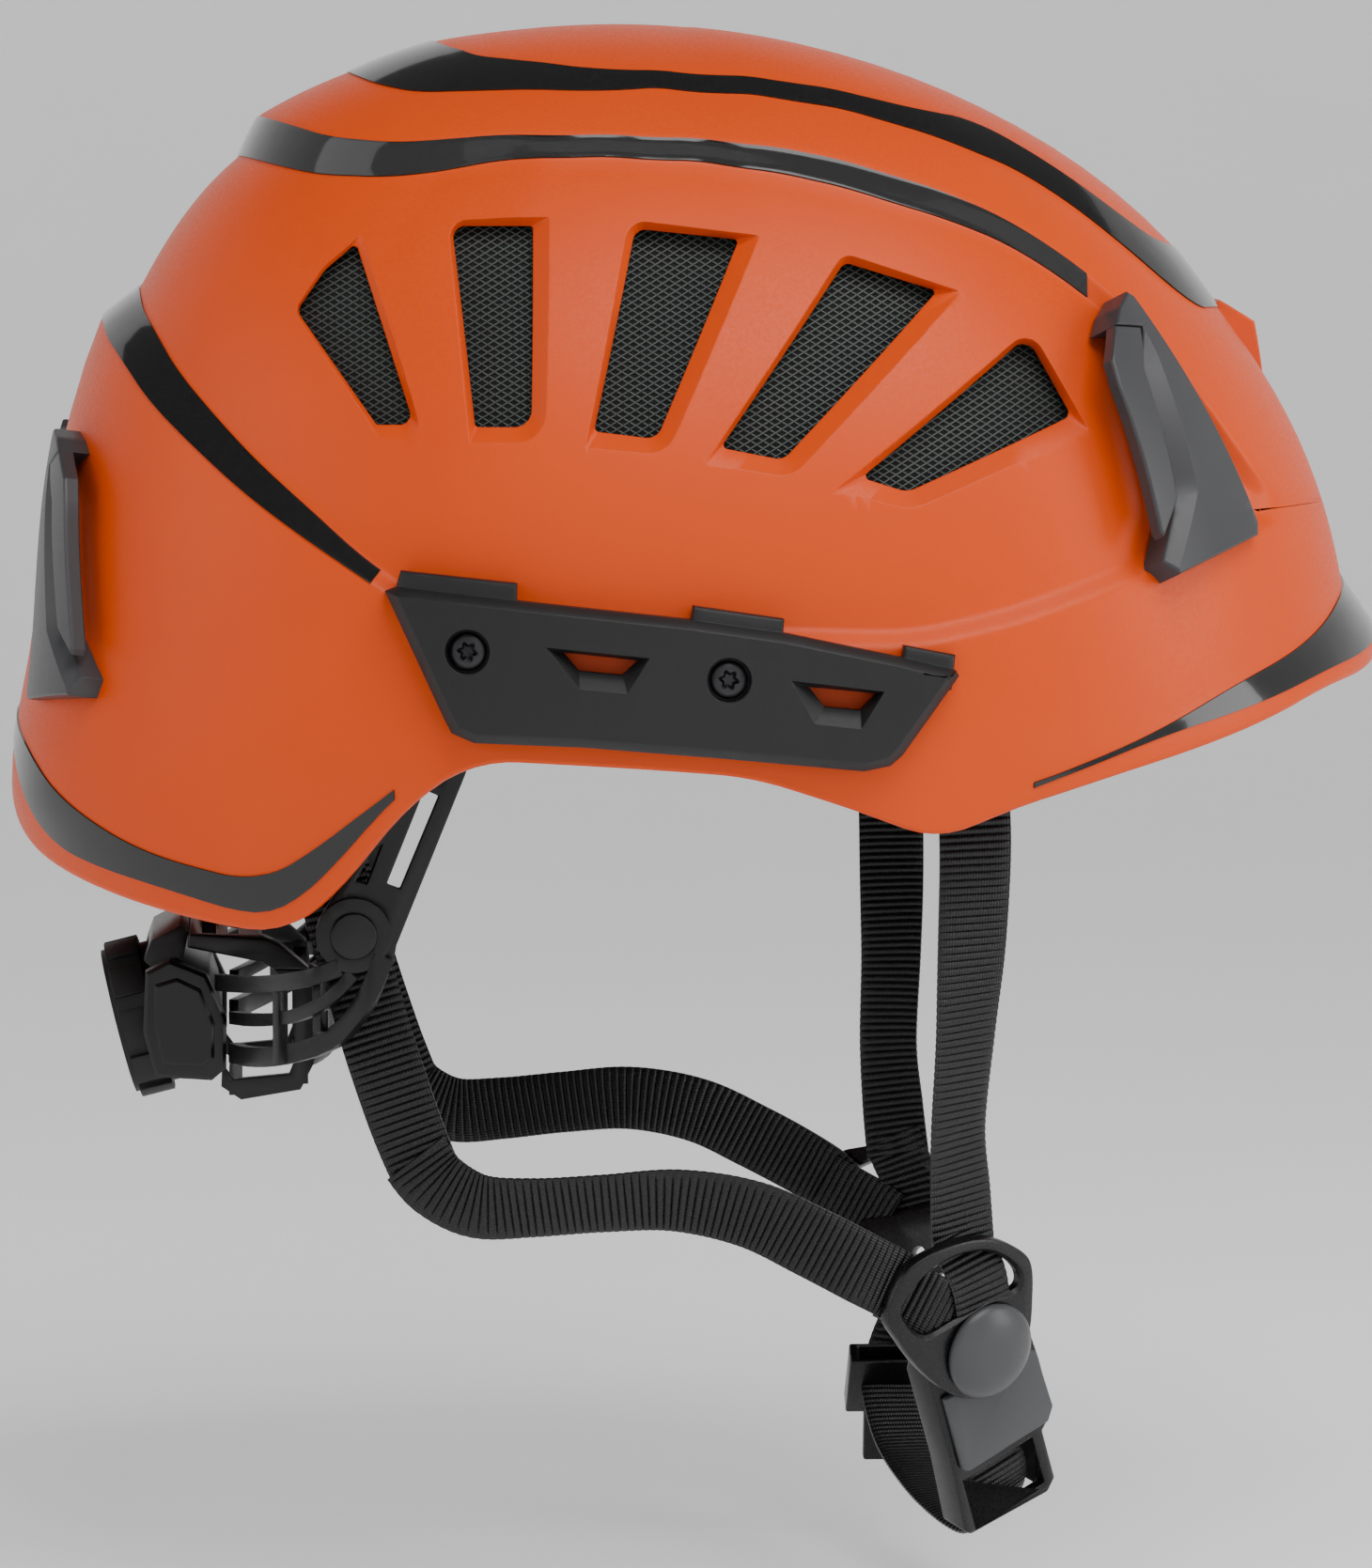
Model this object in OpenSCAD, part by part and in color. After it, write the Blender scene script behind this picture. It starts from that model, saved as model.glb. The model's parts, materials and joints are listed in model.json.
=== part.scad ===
// Climbing and arborist work helmet: moulded shell, foam liner, ratchet headband,
// four lamp clips, two accessory rails and a webbing chin harness with a slide-off buckle.
// +X is the front, +Y the wearer's left, +Z up. The origin is on the middle plane, level
// with the lower edge of the shell's side, in the opening that goes over the head.

/* [Shell] */
// Length of the shell, back to front
shell_l = 290; // [240:1:350]
// Width of the shell
shell_w = 216; // [180:1:262]
// Height of the crown above the side edge
shell_h = 145; // [122:1:175]
// Wall of the moulded shell
shell_t = 3; // [2:0.1:3.6]
// Depth of the vented zone below the plates around it
zone_depth = 3; // [1.5:0.1:4]
// Thickness of the foam liner
liner_t = 12; // [9:0.5:16]
// Thickness of the glossy reflective film
film_t = 0.3; // [0.2:0.05:0.6]

/* [Rails and clips] */
// Thickness of the accessory rail over the shell
rail_t = 6; // [4.5:0.1:8]
// Radius of a rail screw's shank
screw_r = 2; // [1.5:0.1:2.5]
// Radius of a rail screw's head
screw_head_r = 3.7; // [3:0.1:4.2]
// Height of a lamp clip's tongue over the shell
clip_rise = 7; // [5:0.1:9]
// Thickness of a lamp clip's tongue
tongue_t = 3; // [2:0.1:3.5]

/* [Headband] */
// Half length of the headband ring inside the shell
band_half_l = 100; // [90:1:108]
// Half width of the headband ring
band_half_w = 78; // [70:1:82]
// Height of the headband strip
band_h = 20; // [14:1:26]
// Thickness of the headband plastic
band_t = 1.8; // [1.4:0.1:2.4]
// Radius of the pivot stud between yoke arm and nape band
stud_r = 3.4; // [2.6:0.1:4]
// Radius of the adjustment knob
knob_r = 16.8; // [14:0.2:19]
// Thickness of the adjustment knob
knob_t = 10; // [8:0.5:12]
// Radius of the knob's spindle
spindle_r = 3; // [2:0.1:4]

/* [Harness] */
// Width of the webbing
web_w = 15; // [12:0.5:18]
// Thickness of the webbing
web_t = 1.5; // [1.1:0.1:2]
// Radius of the round cap on the divider
cap_r = 10.3; // [9:0.1:11]
// Thickness of the divider frame
divider_t = 3.2; // [2.4:0.1:4]
// Width of the buckle housing
buckle_w = 27; // [25:0.5:32]
// Length of the buckle housing
buckle_l = 42; // [40:0.5:48]
// Thickness of the buckle housing
buckle_t = 8; // [6.5:0.1:9.5]

/* [Hidden] */

ORANGE = "#E8600F";
BLACK = "#1B1B1D";
GREY = "#4A4B4D";
fine = 48;
gap = 0.3;          // between pieces that don't touch
run_gap = 0.06;     // round a turning shaft or stud

// ---------- the shell's surface ----------
// The surface is a closed curve of directions about a centre in the dome. Its reach is set
// every 15 degrees of elevation, from 30 below the centre to straight up.
design_l = 290;
design_w = 216;
design_h = 145;
kx = shell_l / design_l;
ky = shell_w / design_w;
kz = shell_h / design_h;
dome_z = 20;
el_first = -30;
el_step = 15;
FRONT = [146, 143, 140, 136, 131, 127.5, 124.5, 123.5, 125];
REAR = [150, 148, 138.5, 137.5, 140, 141.5, 136, 129, 125];
SIDE = [114, 110.5, 108, 108.5, 110.5, 114, 119.5, 123.5, 125];

function spline(a, b, c, d, t) =
    0.5 * (2 * b + (c - a) * t + (2 * a - 5 * b + 4 * c - d) * t * t
    + (3 * b - a - 3 * c + d) * t * t * t);
function reach(list, beyond, el) =
    let (x = (el - el_first) / el_step,
         i = min(max(floor(x), 0), len(list) - 2),
         before = i > 0 ? list[i - 1] : 2 * list[0] - list[1],
         after = i < len(list) - 2 ? list[i + 2] : beyond)
    spline(before, list[i], list[i + 1], after, x - i);
function radius(az, el) =
    let (c = abs(cos(az)), s = abs(sin(az)), last = len(SIDE) - 2,
         rx = cos(az) >= 0 ? reach(FRONT, REAR[last], el) : reach(REAR, FRONT[last], el),
         ry = reach(SIDE, SIDE[last], el),
         n = 2 + 0.35 * cos(el) * cos(el))
    pow(pow(c / rx, n) + pow(s / ry, n), -1 / n);
function point(az, el, off = 0) =
    let (r = radius(az, el) + off)
    [kx * r * cos(el) * cos(az), ky * r * cos(el) * sin(az), kz * (r * sin(el) + dome_z)];

// Edges of the shell's plates: elevation against azimuth from the front, the same both sides
RIM = [[0, -1], [26, -3.7], [49, -11], [60, -15], [67, -18.5], [75, -16], [87, -12.5],
       [115, -10], [121, -13], [130, -22], [136, -25], [140, -24.3], [157, -19.5],
       [169, -16.5], [180, -12]];
STRIPE_LOW = [[0, 0.6], [26, -2.6], [45, -7.7], [58, -13], [67, -17], [75, -14.5], [87, -11],
       [115, -8.6], [123, -13.2], [128, -18.5], [135, -23.3], [138, -23.4], [147, -20.2],
       [161, -16.6], [173, -9.6], [180, -8.5]];
STRIPE_HIGH = [[0, 5], [16, 3], [27, -0.5], [37, -3.5], [48, -8.5], [58, -12.6], [67, -15.5],
       [75, -13], [87, -9.5], [115, -7], [123, -12.8], [132, -18.5], [137, -20.4], [148, -17.2],
       [161, -11.7], [166, -9.3], [175, -7.4], [180, -6.5]];
LEDGE = [[0, 10], [30, 9.8], [45, 7], [60, 2.5], [70, 0.5], [118, 2], [126, 7], [131, 9.8],
       [146, 17.9], [160, 24.3], [172, 27.5], [180, 28]];
LEDGE_RUN = [[0, 1], [30, 1.6], [70, 1.8], [118, 2], [126, 1.2], [134, 2.4], [150, 3.3], [180, 4]];
CROWN_EDGE = [[0, 12.2], [30, 13.3], [33, 21.5], [36, 30], [38.5, 34.5], [46, 43.6], [54, 48.9],
       [67, 54.4], [77, 57], [92, 58.9], [108, 58.1], [125, 55], [139, 50.4], [149, 49],
       [180, 49.8]];
CROWN_RUN = [[0, 1], [30, 1.4], [38, 1.8], [55, 2.4], [67, 2.2], [89, 1.6], [109, 1.5],
       [125, 1.7], [140, 2.6], [157, 3.4], [180, 3.6]];
LOOP_OUT = [[0, 30.6], [24, 31], [28, 36], [35, 49], [46, 56.1], [60, 62.1], [78, 65.9],
       [101, 67], [127, 62.4], [145, 57.4], [154, 57.1], [180, 58.6]];
LOOP_RUN = [[0, 7], [18, 7], [25, 9], [30, 13], [36, 8], [46, 4], [60, 2.8], [77, 2.4],
       [101, 2.3], [124, 4], [137, 6], [150, 8], [180, 8]];

function edge(table, az) = lookup(abs(az), table);
function smooth_step(t) = let (u = min(max(t, 0), 1)) u * u * (3 - 2 * u);
loop_rise = 1.2;
brim_flare = 6;

// Depth of the surface below the plates: the vented zone lies between ledge and crown edge
function sink(az, el) =
    let (low = edge(LEDGE, az), high = edge(CROWN_EDGE, az),
         up = (el - low) / edge(LEDGE_RUN, az),
         down = (high - el) / edge(CROWN_RUN, az),
         depth = zone_depth * (abs(az) > 126 ? 1.5 : 1),
         open = min(max((high - low - 3) / 3, 0), 1),
         zone = depth * open * min(max(min(up, down), 0), 1),
         loop = (el - edge(LOOP_OUT, az)) / edge(LOOP_RUN, az))
    zone + loop_rise * (1 - min(max(loop, 0), 1));
// The brim's edge flares outwards at the front
function flare(az, el) =
    let (low = edge(STRIPE_LOW, az), high = edge(STRIPE_HIGH, az),
         front = smooth_step((60 - abs(az)) / 60))
    brim_flare * front * min(max((high - el) / (high - low), 0), 1);
function skin(az, el, off = 0) = point(az, el, off - sink(az, el) + flare(az, el));

// Rows of elevation from the rim up, so that every edge lies on a row of facets
function rows(az, top = 4) =
    let (a = edge(RIM, az), b = edge(STRIPE_LOW, az), c = edge(STRIPE_HIGH, az),
         d = edge(LEDGE, az), e = d + edge(LEDGE_RUN, az),
         g = edge(CROWN_EDGE, az), f = g - edge(CROWN_RUN, az),
         h = edge(LOOP_OUT, az), i = h + edge(LOOP_RUN, az))
    concat([a, b, c, (c + d) / 2, d, min(e, f - 0.3)],
           [for (t = [1:4]) min(e, f - 0.3) + (f - min(e, f - 0.3)) * t / 5],
           [f, g, (g + h) / 2, h, i],
           [for (t = [1:top - 1]) i + (90 - i) * t / top]);
az_step = 5;
AZ = [for (a = [-180:az_step:180 - az_step]) a];

// ---------- builders of solids ----------
function flat(list) = [for (part = list) for (item = part) item];
function unit(v) = v / norm(v);
function mirror_y(p) = [p[0], -p[1], p[2]];

// Dome: closed rings from a top point down to the rim and back up to an inner top point
module dome(rings, top_point, inner_point) {
    n = len(rings[0]);
    last = 1 + len(rings) * n;
    points = concat([top_point], flat(rings), [inner_point]);
    caps = [for (j = [0:n - 1]) let (k = (j + 1) % n) [0, 1 + k, 1 + j]];
    ends = [for (j = [0:n - 1]) let (k = (j + 1) % n) [last, last - n + j, last - n + k]];
    sides = [for (i = [0:len(rings) - 2]) for (j = [0:n - 1])
        let (k = (j + 1) % n, a = 1 + i * n + j, b = 1 + i * n + k)
        each [[a, b + n, a + n], [a, b, b + n]]];
    polyhedron(points, concat(caps, sides, ends));
}

// Plate between two grids of points of the same size, with walls round its edge
module plate(over, under) {
    m = len(over);
    n = len(over[0]);
    s = m * n;
    points = concat(flat(over), flat(under));
    faces = [for (i = [0:m - 2]) for (j = [0:n - 2])
        let (a = i * n + j)
        each [[a, a + 1, a + n + 1], [a, a + n + 1, a + n],
              [s + a, s + a + n + 1, s + a + 1], [s + a, s + a + n, s + a + n + 1]]];
    first_last = [for (j = [0:n - 2])
        let (a = j, b = (m - 1) * n + j)
        each [[a, s + a, s + a + 1], [a, s + a + 1, a + 1],
              [b, b + 1, s + b + 1], [b, s + b + 1, s + b]]];
    side_walls = [for (i = [0:m - 2])
        let (a = i * n, b = i * n + n - 1)
        each [[a, a + n, s + a + n], [a, s + a + n, s + a],
              [b, s + b, s + b + n], [b, s + b + n, b + n]]];
    polyhedron(points, concat(faces, first_last, side_walls));
}

// Bar through closed sections that all have the same number of points
module bar(sections) {
    n = len(sections[0]);
    m = len(sections);
    sides = [for (i = [0:m - 2]) for (j = [0:n - 1])
        let (k = (j + 1) % n, a = i * n + j, b = i * n + k)
        each [[a, b, b + n], [a, b + n, a + n]]];
    start = [for (j = [1:n - 2]) [0, j + 1, j]];
    finish = [for (j = [1:n - 2]) [(m - 1) * n, (m - 1) * n + j, (m - 1) * n + j + 1]];
    polyhedron(flat(sections), concat(sides, start, finish));
}

// Ribbon along a route of [x, y, z, turn]: flat against the head where turn is 0,
// and turned about its own run by the given angle elsewhere
function tangent(route, i) =
    let (a = route[max(i - 1, 0)], b = route[min(i + 1, len(route) - 1)])
    unit([b[0] - a[0], b[1] - a[1], b[2] - a[2]]);
function ribbon_section(route, i, width, thick, outward) =
    let (t = tangent(route, i), p = [route[i][0], route[i][1], route[i][2]],
         across = unit(cross(t, outward)), out = cross(across, t), turn = route[i][3],
         w = across * cos(turn) + out * sin(turn), n = cross(w, t))
    [p + w * width / 2 + n * thick / 2, p - w * width / 2 + n * thick / 2,
     p - w * width / 2 - n * thick / 2, p + w * width / 2 - n * thick / 2];
module ribbon(route, width, thick, outward = [0, -1, 0]) {
    bar([for (i = [0:len(route) - 1]) ribbon_section(route, i, width, thick, outward)]);
}
// A route is smoothed by two points between each pair of its own
function at(route, i) = route[min(max(i, 0), len(route) - 1)];
function smooth(route) = concat([for (i = [0:len(route) - 2]) for (t = [0:1 / 3:0.9])
    [for (k = [0:3]) spline(at(route, i - 1)[k], route[i][k], route[i + 1][k],
    at(route, i + 2)[k], t)]], [route[len(route) - 1]]);
// Routes are written for the design size and follow the shell's
function fit(route) = [for (p = route) [p[0] * kx, p[1] * ky, p[2] * kz, p[3]]];

// Local frame on the shell's surface: u forwards or sideways, v up, n outwards
function frame_n(az, el) =
    unit(cross(point(az + 1, el) - point(az - 1, el), point(az, el + 1) - point(az, el - 1)));
function frame_u(az, el) = unit(cross([0, 0, 1], frame_n(az, el)));
function frame_v(az, el) = cross(frame_n(az, el), frame_u(az, el));
function above(p) =
    let (q = [p[0] / kx, p[1] / ky, p[2] / kz - dome_z], r = norm(q))
    r - radius(atan2(q[1], q[0]), asin(q[2] / r));
function meet(p, n, low, high, times) =
    let (mid = (low + high) / 2)
    times == 0 ? mid
    : above(p + n * mid) > 0 ? meet(p, n, low, mid, times - 1) : meet(p, n, mid, high, times - 1);
function drape(az, el, u, v, off) =
    let (n = frame_n(az, el), p = point(az, el) + frame_u(az, el) * u + frame_v(az, el) * v)
    p + n * (meet(p, n, -60, 30, 14) + off);
module in_frame(az, el) {
    u = frame_u(az, el);
    v = frame_v(az, el);
    n = frame_n(az, el);
    p = point(az, el);
    multmatrix([[u[0], v[0], n[0], p[0]], [u[1], v[1], n[1], p[1]], [u[2], v[2], n[2], p[2]],
                [0, 0, 0, 1]]) children();
}
// Slab that follows the shell, from low to high over it, each given at both ends of u
module draped(az, el, us, vs, low, high) {
    last = len(us) - 1;
    function level(pair, i) = pair[0] + (pair[1] - pair[0]) * i / last;
    plate([for (i = [0:last]) [for (v = vs) drape(az, el, us[i], v, level(high, i))]],
          [for (i = [0:last]) [for (v = vs) drape(az, el, us[i], v, level(low, i))]]);
}

// ---------- shell and liner ----------
// Corners of each vent, seen from the side
VENTS = [
    [[-82, 88], [-70, 99], [-60, 67], [-62, 64.5], [-66, 64.5]],
    [[-52, 101], [-49.5, 103], [-36, 103.5], [-37.5, 67], [-39, 64.5], [-47.5, 64.5]],
    [[-16.5, 99], [-13, 102], [4.5, 101.5], [-12.5, 64.5], [-15, 62.5], [-24.5, 63]],
    [[22.5, 92.5], [27, 95.5], [44, 91.5], [14.5, 60.5], [10.5, 58], [0, 59.5]],
    [[62, 79.5], [65.5, 81], [70.5, 67], [40.5, 52.5], [36.5, 51.5], [28, 53]]];
module vents(grow = 0) {
    for (side = [-1, 1]) for (vent = VENTS)
        scale([kx, ky, kz]) rotate([90, 0, 0]) translate([0, 0, side > 0 ? 35 : -130])
            minkowski() {
                linear_extrude(95 - 0.4) polygon(vent);
                cylinder(r = 0.4 + grow, h = 0.4, $fn = 8);
            }
}
module outer_shell() {
    outside = [for (r = [len(rows(0)) - 1:-1:0]) [for (a = AZ) skin(a, rows(a)[r])]];
    inside = [for (r = [0:len(rows(0)) - 1]) [for (a = AZ) skin(a, rows(a)[r], -shell_t)]];
    color(ORANGE) difference() {
        dome(concat(outside, inside), skin(0, 90), skin(0, 90, -shell_t));
        vents();
    }
}
liner_gap = 1;
liner_out = -zone_depth * 1.5 - loop_rise - shell_t - liner_gap;
LINER_AZ = [for (a = [-180:7.5:172.5]) a];
function liner_row(az, i) = let (low = max(edge(RIM, az) + 6, -14)) low + (90 - low) * i / 9;
module foam_liner() {
    function ring(i, off) = [for (a = LINER_AZ) point(a, liner_row(a, i), off)];
    color(BLACK) difference() {
        dome(concat([for (i = [8:-1:0]) ring(i, liner_out)],
                    [for (i = [0:8]) ring(i, liner_out - liner_t)]),
             point(0, 90, liner_out), point(0, 90, liner_out - liner_t));
        vents(1);
    }
}
mesh_t = 0.4;
module vent_mesh() {
    columns = [for (a = LINER_AZ) if (a > -144 && a < -44) a];
    function mesh_row(a, off) = [for (i = [5:-1:2]) point(a, liner_row(a, i), liner_out + off)];
    color(GREY) plate([for (a = columns) mesh_row(a, 0.35)],
                      [for (a = columns) mesh_row(a, 0.35 + mesh_t)]);
}

// ---------- glossy films ----------
film_gap = 0.05;
module film(azs, low, high) {
    function film_row(a, off) = [for (el = [high(a), low(a)]) skin(a, el, off)];
    color(BLACK) plate([for (a = azs) film_row(a, film_gap)],
                       [for (a = azs) film_row(a, film_gap + film_t)]);
}
module crown_film() {
    low = function(a) edge(LOOP_OUT, a);
    high = function(a) edge(LOOP_OUT, a) + edge(LOOP_RUN, a);
    around = concat([-179.8], [for (a = [-175:az_step:175]) a], [179.8]);
    film(around, low, high);
}
module crown_edge_film() {
    low = function(a) edge(CROWN_EDGE, a) - edge(CROWN_RUN, a);
    high = function(a) edge(CROWN_EDGE, a);
    film([for (a = [40:az_step:320]) a > 180 ? a - 360 : a], low, high);
}
module rear_band_film() {
    low = function(a) edge(LEDGE, a);
    high = function(a) edge(LEDGE, a) + edge(LEDGE_RUN, a);
    film([for (a = [125:az_step:235]) a > 180 ? a - 360 : a], low, high);
}
module rear_rim_film() {
    low = function(a) edge(STRIPE_LOW, a);
    high = function(a) edge(STRIPE_HIGH, a);
    film([for (a = [125:az_step:235]) a > 180 ? a - 360 : a], low, high);
}
module brim_film() {
    low = function(a) edge(STRIPE_LOW, a);
    high = function(a) edge(STRIPE_HIGH, a);
    film([for (a = [-55:az_step:55]) a], low, high);
}

// ---------- accessory rails ----------
rail_az = -97;
rail_el = -1.5;
rail_skew = -9;     // the rail falls towards the front
RAIL = [[-54, 9], [-50, 11.5], [-27, 9.2], [9, 10], [9, 12.8], [28, 12.8], [28, 10], [55.5, 7.5],
        [55.5, 9.8], [59.5, 9.8], [60.5, 5], [50, -11], [43, -13.8], [-40, -19.5], [-45.5, -15]];
RAIL_WINDOWS = [[[-16, 0.3], [-3.5, 1], [-5.2, -2.6], [-13.8, -3]],
                [[37, 0], [49, -0.6], [46, -4.8], [39.5, -5]]];
RAIL_SCREWS = [[-37, -2], [14, 0.5]];
module rail() {
    us = [for (u = [-58:8.5:63]) u];
    vs = [-24, -14, -4, 6, 16];
    difference() {
        intersection() {
            draped(rail_az, rail_el, us, vs, [gap, gap], [rail_t, rail_t]);
            in_frame(rail_az, rail_el) rotate([0, 0, rail_skew])
                translate([0, 0, -60]) linear_extrude(90) polygon(RAIL);
        }
        for (window = RAIL_WINDOWS) in_frame(rail_az, rail_el) rotate([0, 0, rail_skew])
            translate([0, 0, -60]) linear_extrude(90) polygon(window);
        for (place = RAIL_SCREWS) screw_place(place) {
            translate([0, 0, -10]) cylinder(r = screw_r + gap, h = 30, $fn = fine);
            translate([0, 0, rail_t - screw_sunk]) cylinder(r = screw_head_r + gap, h = 9, $fn = fine);
        }
    }
}
screw_sunk = 3.4;
screw_head_t = 2.2;
module screw_place(place) {
    u = place[0] * cos(rail_skew) - place[1] * sin(rail_skew);
    v = place[0] * sin(rail_skew) + place[1] * cos(rail_skew);
    spot = drape(rail_az, rail_el, u, v, 0) - point(rail_az, rail_el);
    n = frame_n(rail_az, rail_el);
    in_frame(rail_az, rail_el) translate([u, v, spot * n]) children();
}
module rail_screw(place) {
    screw_place(place) difference() {
        union() {
            translate([0, 0, -9]) cylinder(r = screw_r, h = 9 + rail_t - screw_sunk + 0.1, $fn = fine);
            translate([0, 0, rail_t - screw_sunk]) cylinder(r = screw_head_r, h = screw_head_t, $fn = fine);
        }
        translate([0, 0, rail_t - screw_sunk + 0.8])
            cylinder(r = 1.7, h = screw_head_t, $fn = 6);
    }
}
module side_rail_right() { color(GREY) rail(); }
module side_rail_left() { color(GREY) mirror([0, 1, 0]) rail(); }
module rail_screws() {
    color("#2A2A2C") for (place = RAIL_SCREWS) {
        rail_screw(place);
        mirror([0, 1, 0]) rail_screw(place);
    }
}

// ---------- lamp clips ----------
// Outlines seen square on to a front clip of the right side
WING = [[0.4, 35.6], [2.2, 34.6], [22.2, -13.5], [21.4, -16], [-5.4, -24.6], [-8.2, -21.5],
        [-2.4, -9.6], [-2.9, 17.5], [-1.2, 22], [0.5, 27.4], [-7.5, 27.4], [-4.5, 31.5]];
TONGUE = [[-7.8, 27], [-0.3, 27], [-2, 22], [-3.8, 17.5], [-3.5, -9.6], [-8.6, -17.2],
          [-9.6, -16.2], [-12.6, 14], [-12.4, 19.5]];
front_clip_at = [-42, 17, 0];
rear_clip_at = [-160, 4, 22.5];
PLINTH = [[-6, -10], [6, -10], [6, 20], [-3, 24], [-6, 22]];
clip_foot = -loop_rise + gap;
clip_edge = 0.3;
clip_us = [-16, -9, -2, 5, 12, 19, 26];
clip_vs = [-34, -24, -14, -4, 6, 16, 26, 38];
module clip_shape(place, flip, outline, low, high) {
    intersection() {
        draped(place[0], place[1], flip > 0 ? clip_us : [for (i = [6:-1:0]) -clip_us[i]],
               place[2] == 0 ? clip_vs : [for (v = clip_vs) v * 1.25], low, high);
        in_frame(place[0], place[1]) rotate([0, 0, place[2]]) scale([flip, 1, 1])
            translate([0, 0, -30]) linear_extrude(60) polygon(outline);
    }
}
module clip_base(place, flip) {
    low = [clip_foot, clip_foot];
    high = flip > 0 ? [clip_rise, clip_edge] : [clip_edge, clip_rise];
    clip_shape(place, flip, WING, low, high);
    // a front clip also stands on the sunk zone
    if (place[2] == 0) clip_shape(place, flip, PLINTH, low - [zone_depth, zone_depth], [0, 0]);
}
module clip_tongue(place, flip) {
    high = flip > 0 ? [clip_rise, clip_edge + 0.6] : [clip_edge + 0.6, clip_rise];
    clip_shape(place, flip, TONGUE, high - [tongue_t, tongue_t], high);
}
module front_clip_right() { color(GREY) clip_base(front_clip_at, 1); }
module front_clip_left() { color(GREY) mirror([0, 1, 0]) clip_base(front_clip_at, 1); }
module rear_clip_right() { color(GREY) clip_base(rear_clip_at, -1); }
module rear_clip_left() { color(GREY) mirror([0, 1, 0]) clip_base(rear_clip_at, -1); }
module front_tongue_right() { color(GREY) clip_tongue(front_clip_at, 1); }
module front_tongue_left() { color(GREY) mirror([0, 1, 0]) clip_tongue(front_clip_at, 1); }
module rear_tongue_right() { color(GREY) clip_tongue(rear_clip_at, -1); }
module rear_tongue_left() { color(GREY) mirror([0, 1, 0]) clip_tongue(rear_clip_at, -1); }

// ---------- headband ----------
band_z = 12;
band_turn = 154;    // the strip ends this far round from the front on each side
band_step = 7;
function band_point(t, out, z) = [(band_half_l + out) * cos(t) + 2, (band_half_w + out) * sin(t), z];
function band_section(t, z0, z1, out, thick) =
    [band_point(t, out, z0), band_point(t, out, z1),
     band_point(t, out - thick, z1), band_point(t, out - thick, z0)];
module headband() {
    color(BLACK) bar([for (t = [-band_turn:band_step:band_turn])
        band_section(t, band_z - band_h / 2, band_z + band_h / 2, 0, band_t)]);
}
pad_t = 6;
module forehead_pad() {
    color("#303134") bar([for (t = [-56:band_step:56])
        band_section(t, band_z - band_h / 2 - 3, band_z + band_h / 2 + 2, -band_t - 0.05, pad_t)]);
}
// Crown cradle: three webbing hoops from the headband over the head, under the liner
cradle_w = 14;
cradle_t = 1.2;
cradle_top = 104;
hoop_out = 1.7;
function hoop(az, count) = [for (i = [0:count])
    let (t = 180 * i / count, c = cos(t), s = sin(t),
         a = band_point(az, hoop_out, band_z + 2), b = band_point(az + 180, hoop_out, band_z + 2),
         p = (a + b) / 2 + (a - b) / 2 * c)
    [p[0], p[1], p[2] + (cradle_top - p[2]) * pow(s, 0.8), 0]];
function hoop_section(route, i, az) =
    let (t = tangent(route, i), side = [-sin(az), cos(az), 0], n = cross(side, t),
         p = [route[i][0], route[i][1], route[i][2]])
    [p + side * cradle_w / 2 + n * cradle_t / 2, p - side * cradle_w / 2 + n * cradle_t / 2,
     p - side * cradle_w / 2 - n * cradle_t / 2, p + side * cradle_w / 2 - n * cradle_t / 2];
module cradle_hoop(az, count = 16) {
    route = hoop(az, count);
    bar([for (i = [0:count]) hoop_section(route, i, az)]);
}
CRADLE = [32, 90, -32];
module cradle_straps() {
    color("#232427") for (i = [0:2]) translate([0, 0, i * (cradle_t + gap)]) cradle_hoop(CRADLE[i]);
}
// Plastic clips that hold the hoops to the headband's rim
module cradle_clips() {
    for (az = [32, -32, 90, -90, 148, -148]) {
        spot = band_point(az, 0, band_z);
        color(BLACK) translate([spot[0], spot[1], band_z - 1]) rotate([0, 0, atan2(spot[1], spot[0])])
            translate([hoop_out + 1.5, -9, 0]) cube([2.2, 18, band_h / 2 - 1]);
    }
}
pad_r = 30;
pad_dome_r = 154;
module crown_pad() {
    rim = sqrt(pad_dome_r * pad_dome_r - pad_r * pad_r);
    arc = [for (i = [0:6]) let (r = pad_r * (6 - i) / 6)
        [r, 1 + sqrt(pad_dome_r * pad_dome_r - r * r) - rim]];
    color("#303134") translate([0, 0, cradle_top - 7]) rotate_extrude($fn = fine)
        polygon(concat([[0, 0], [pad_r, 0]], arc));
}

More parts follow.
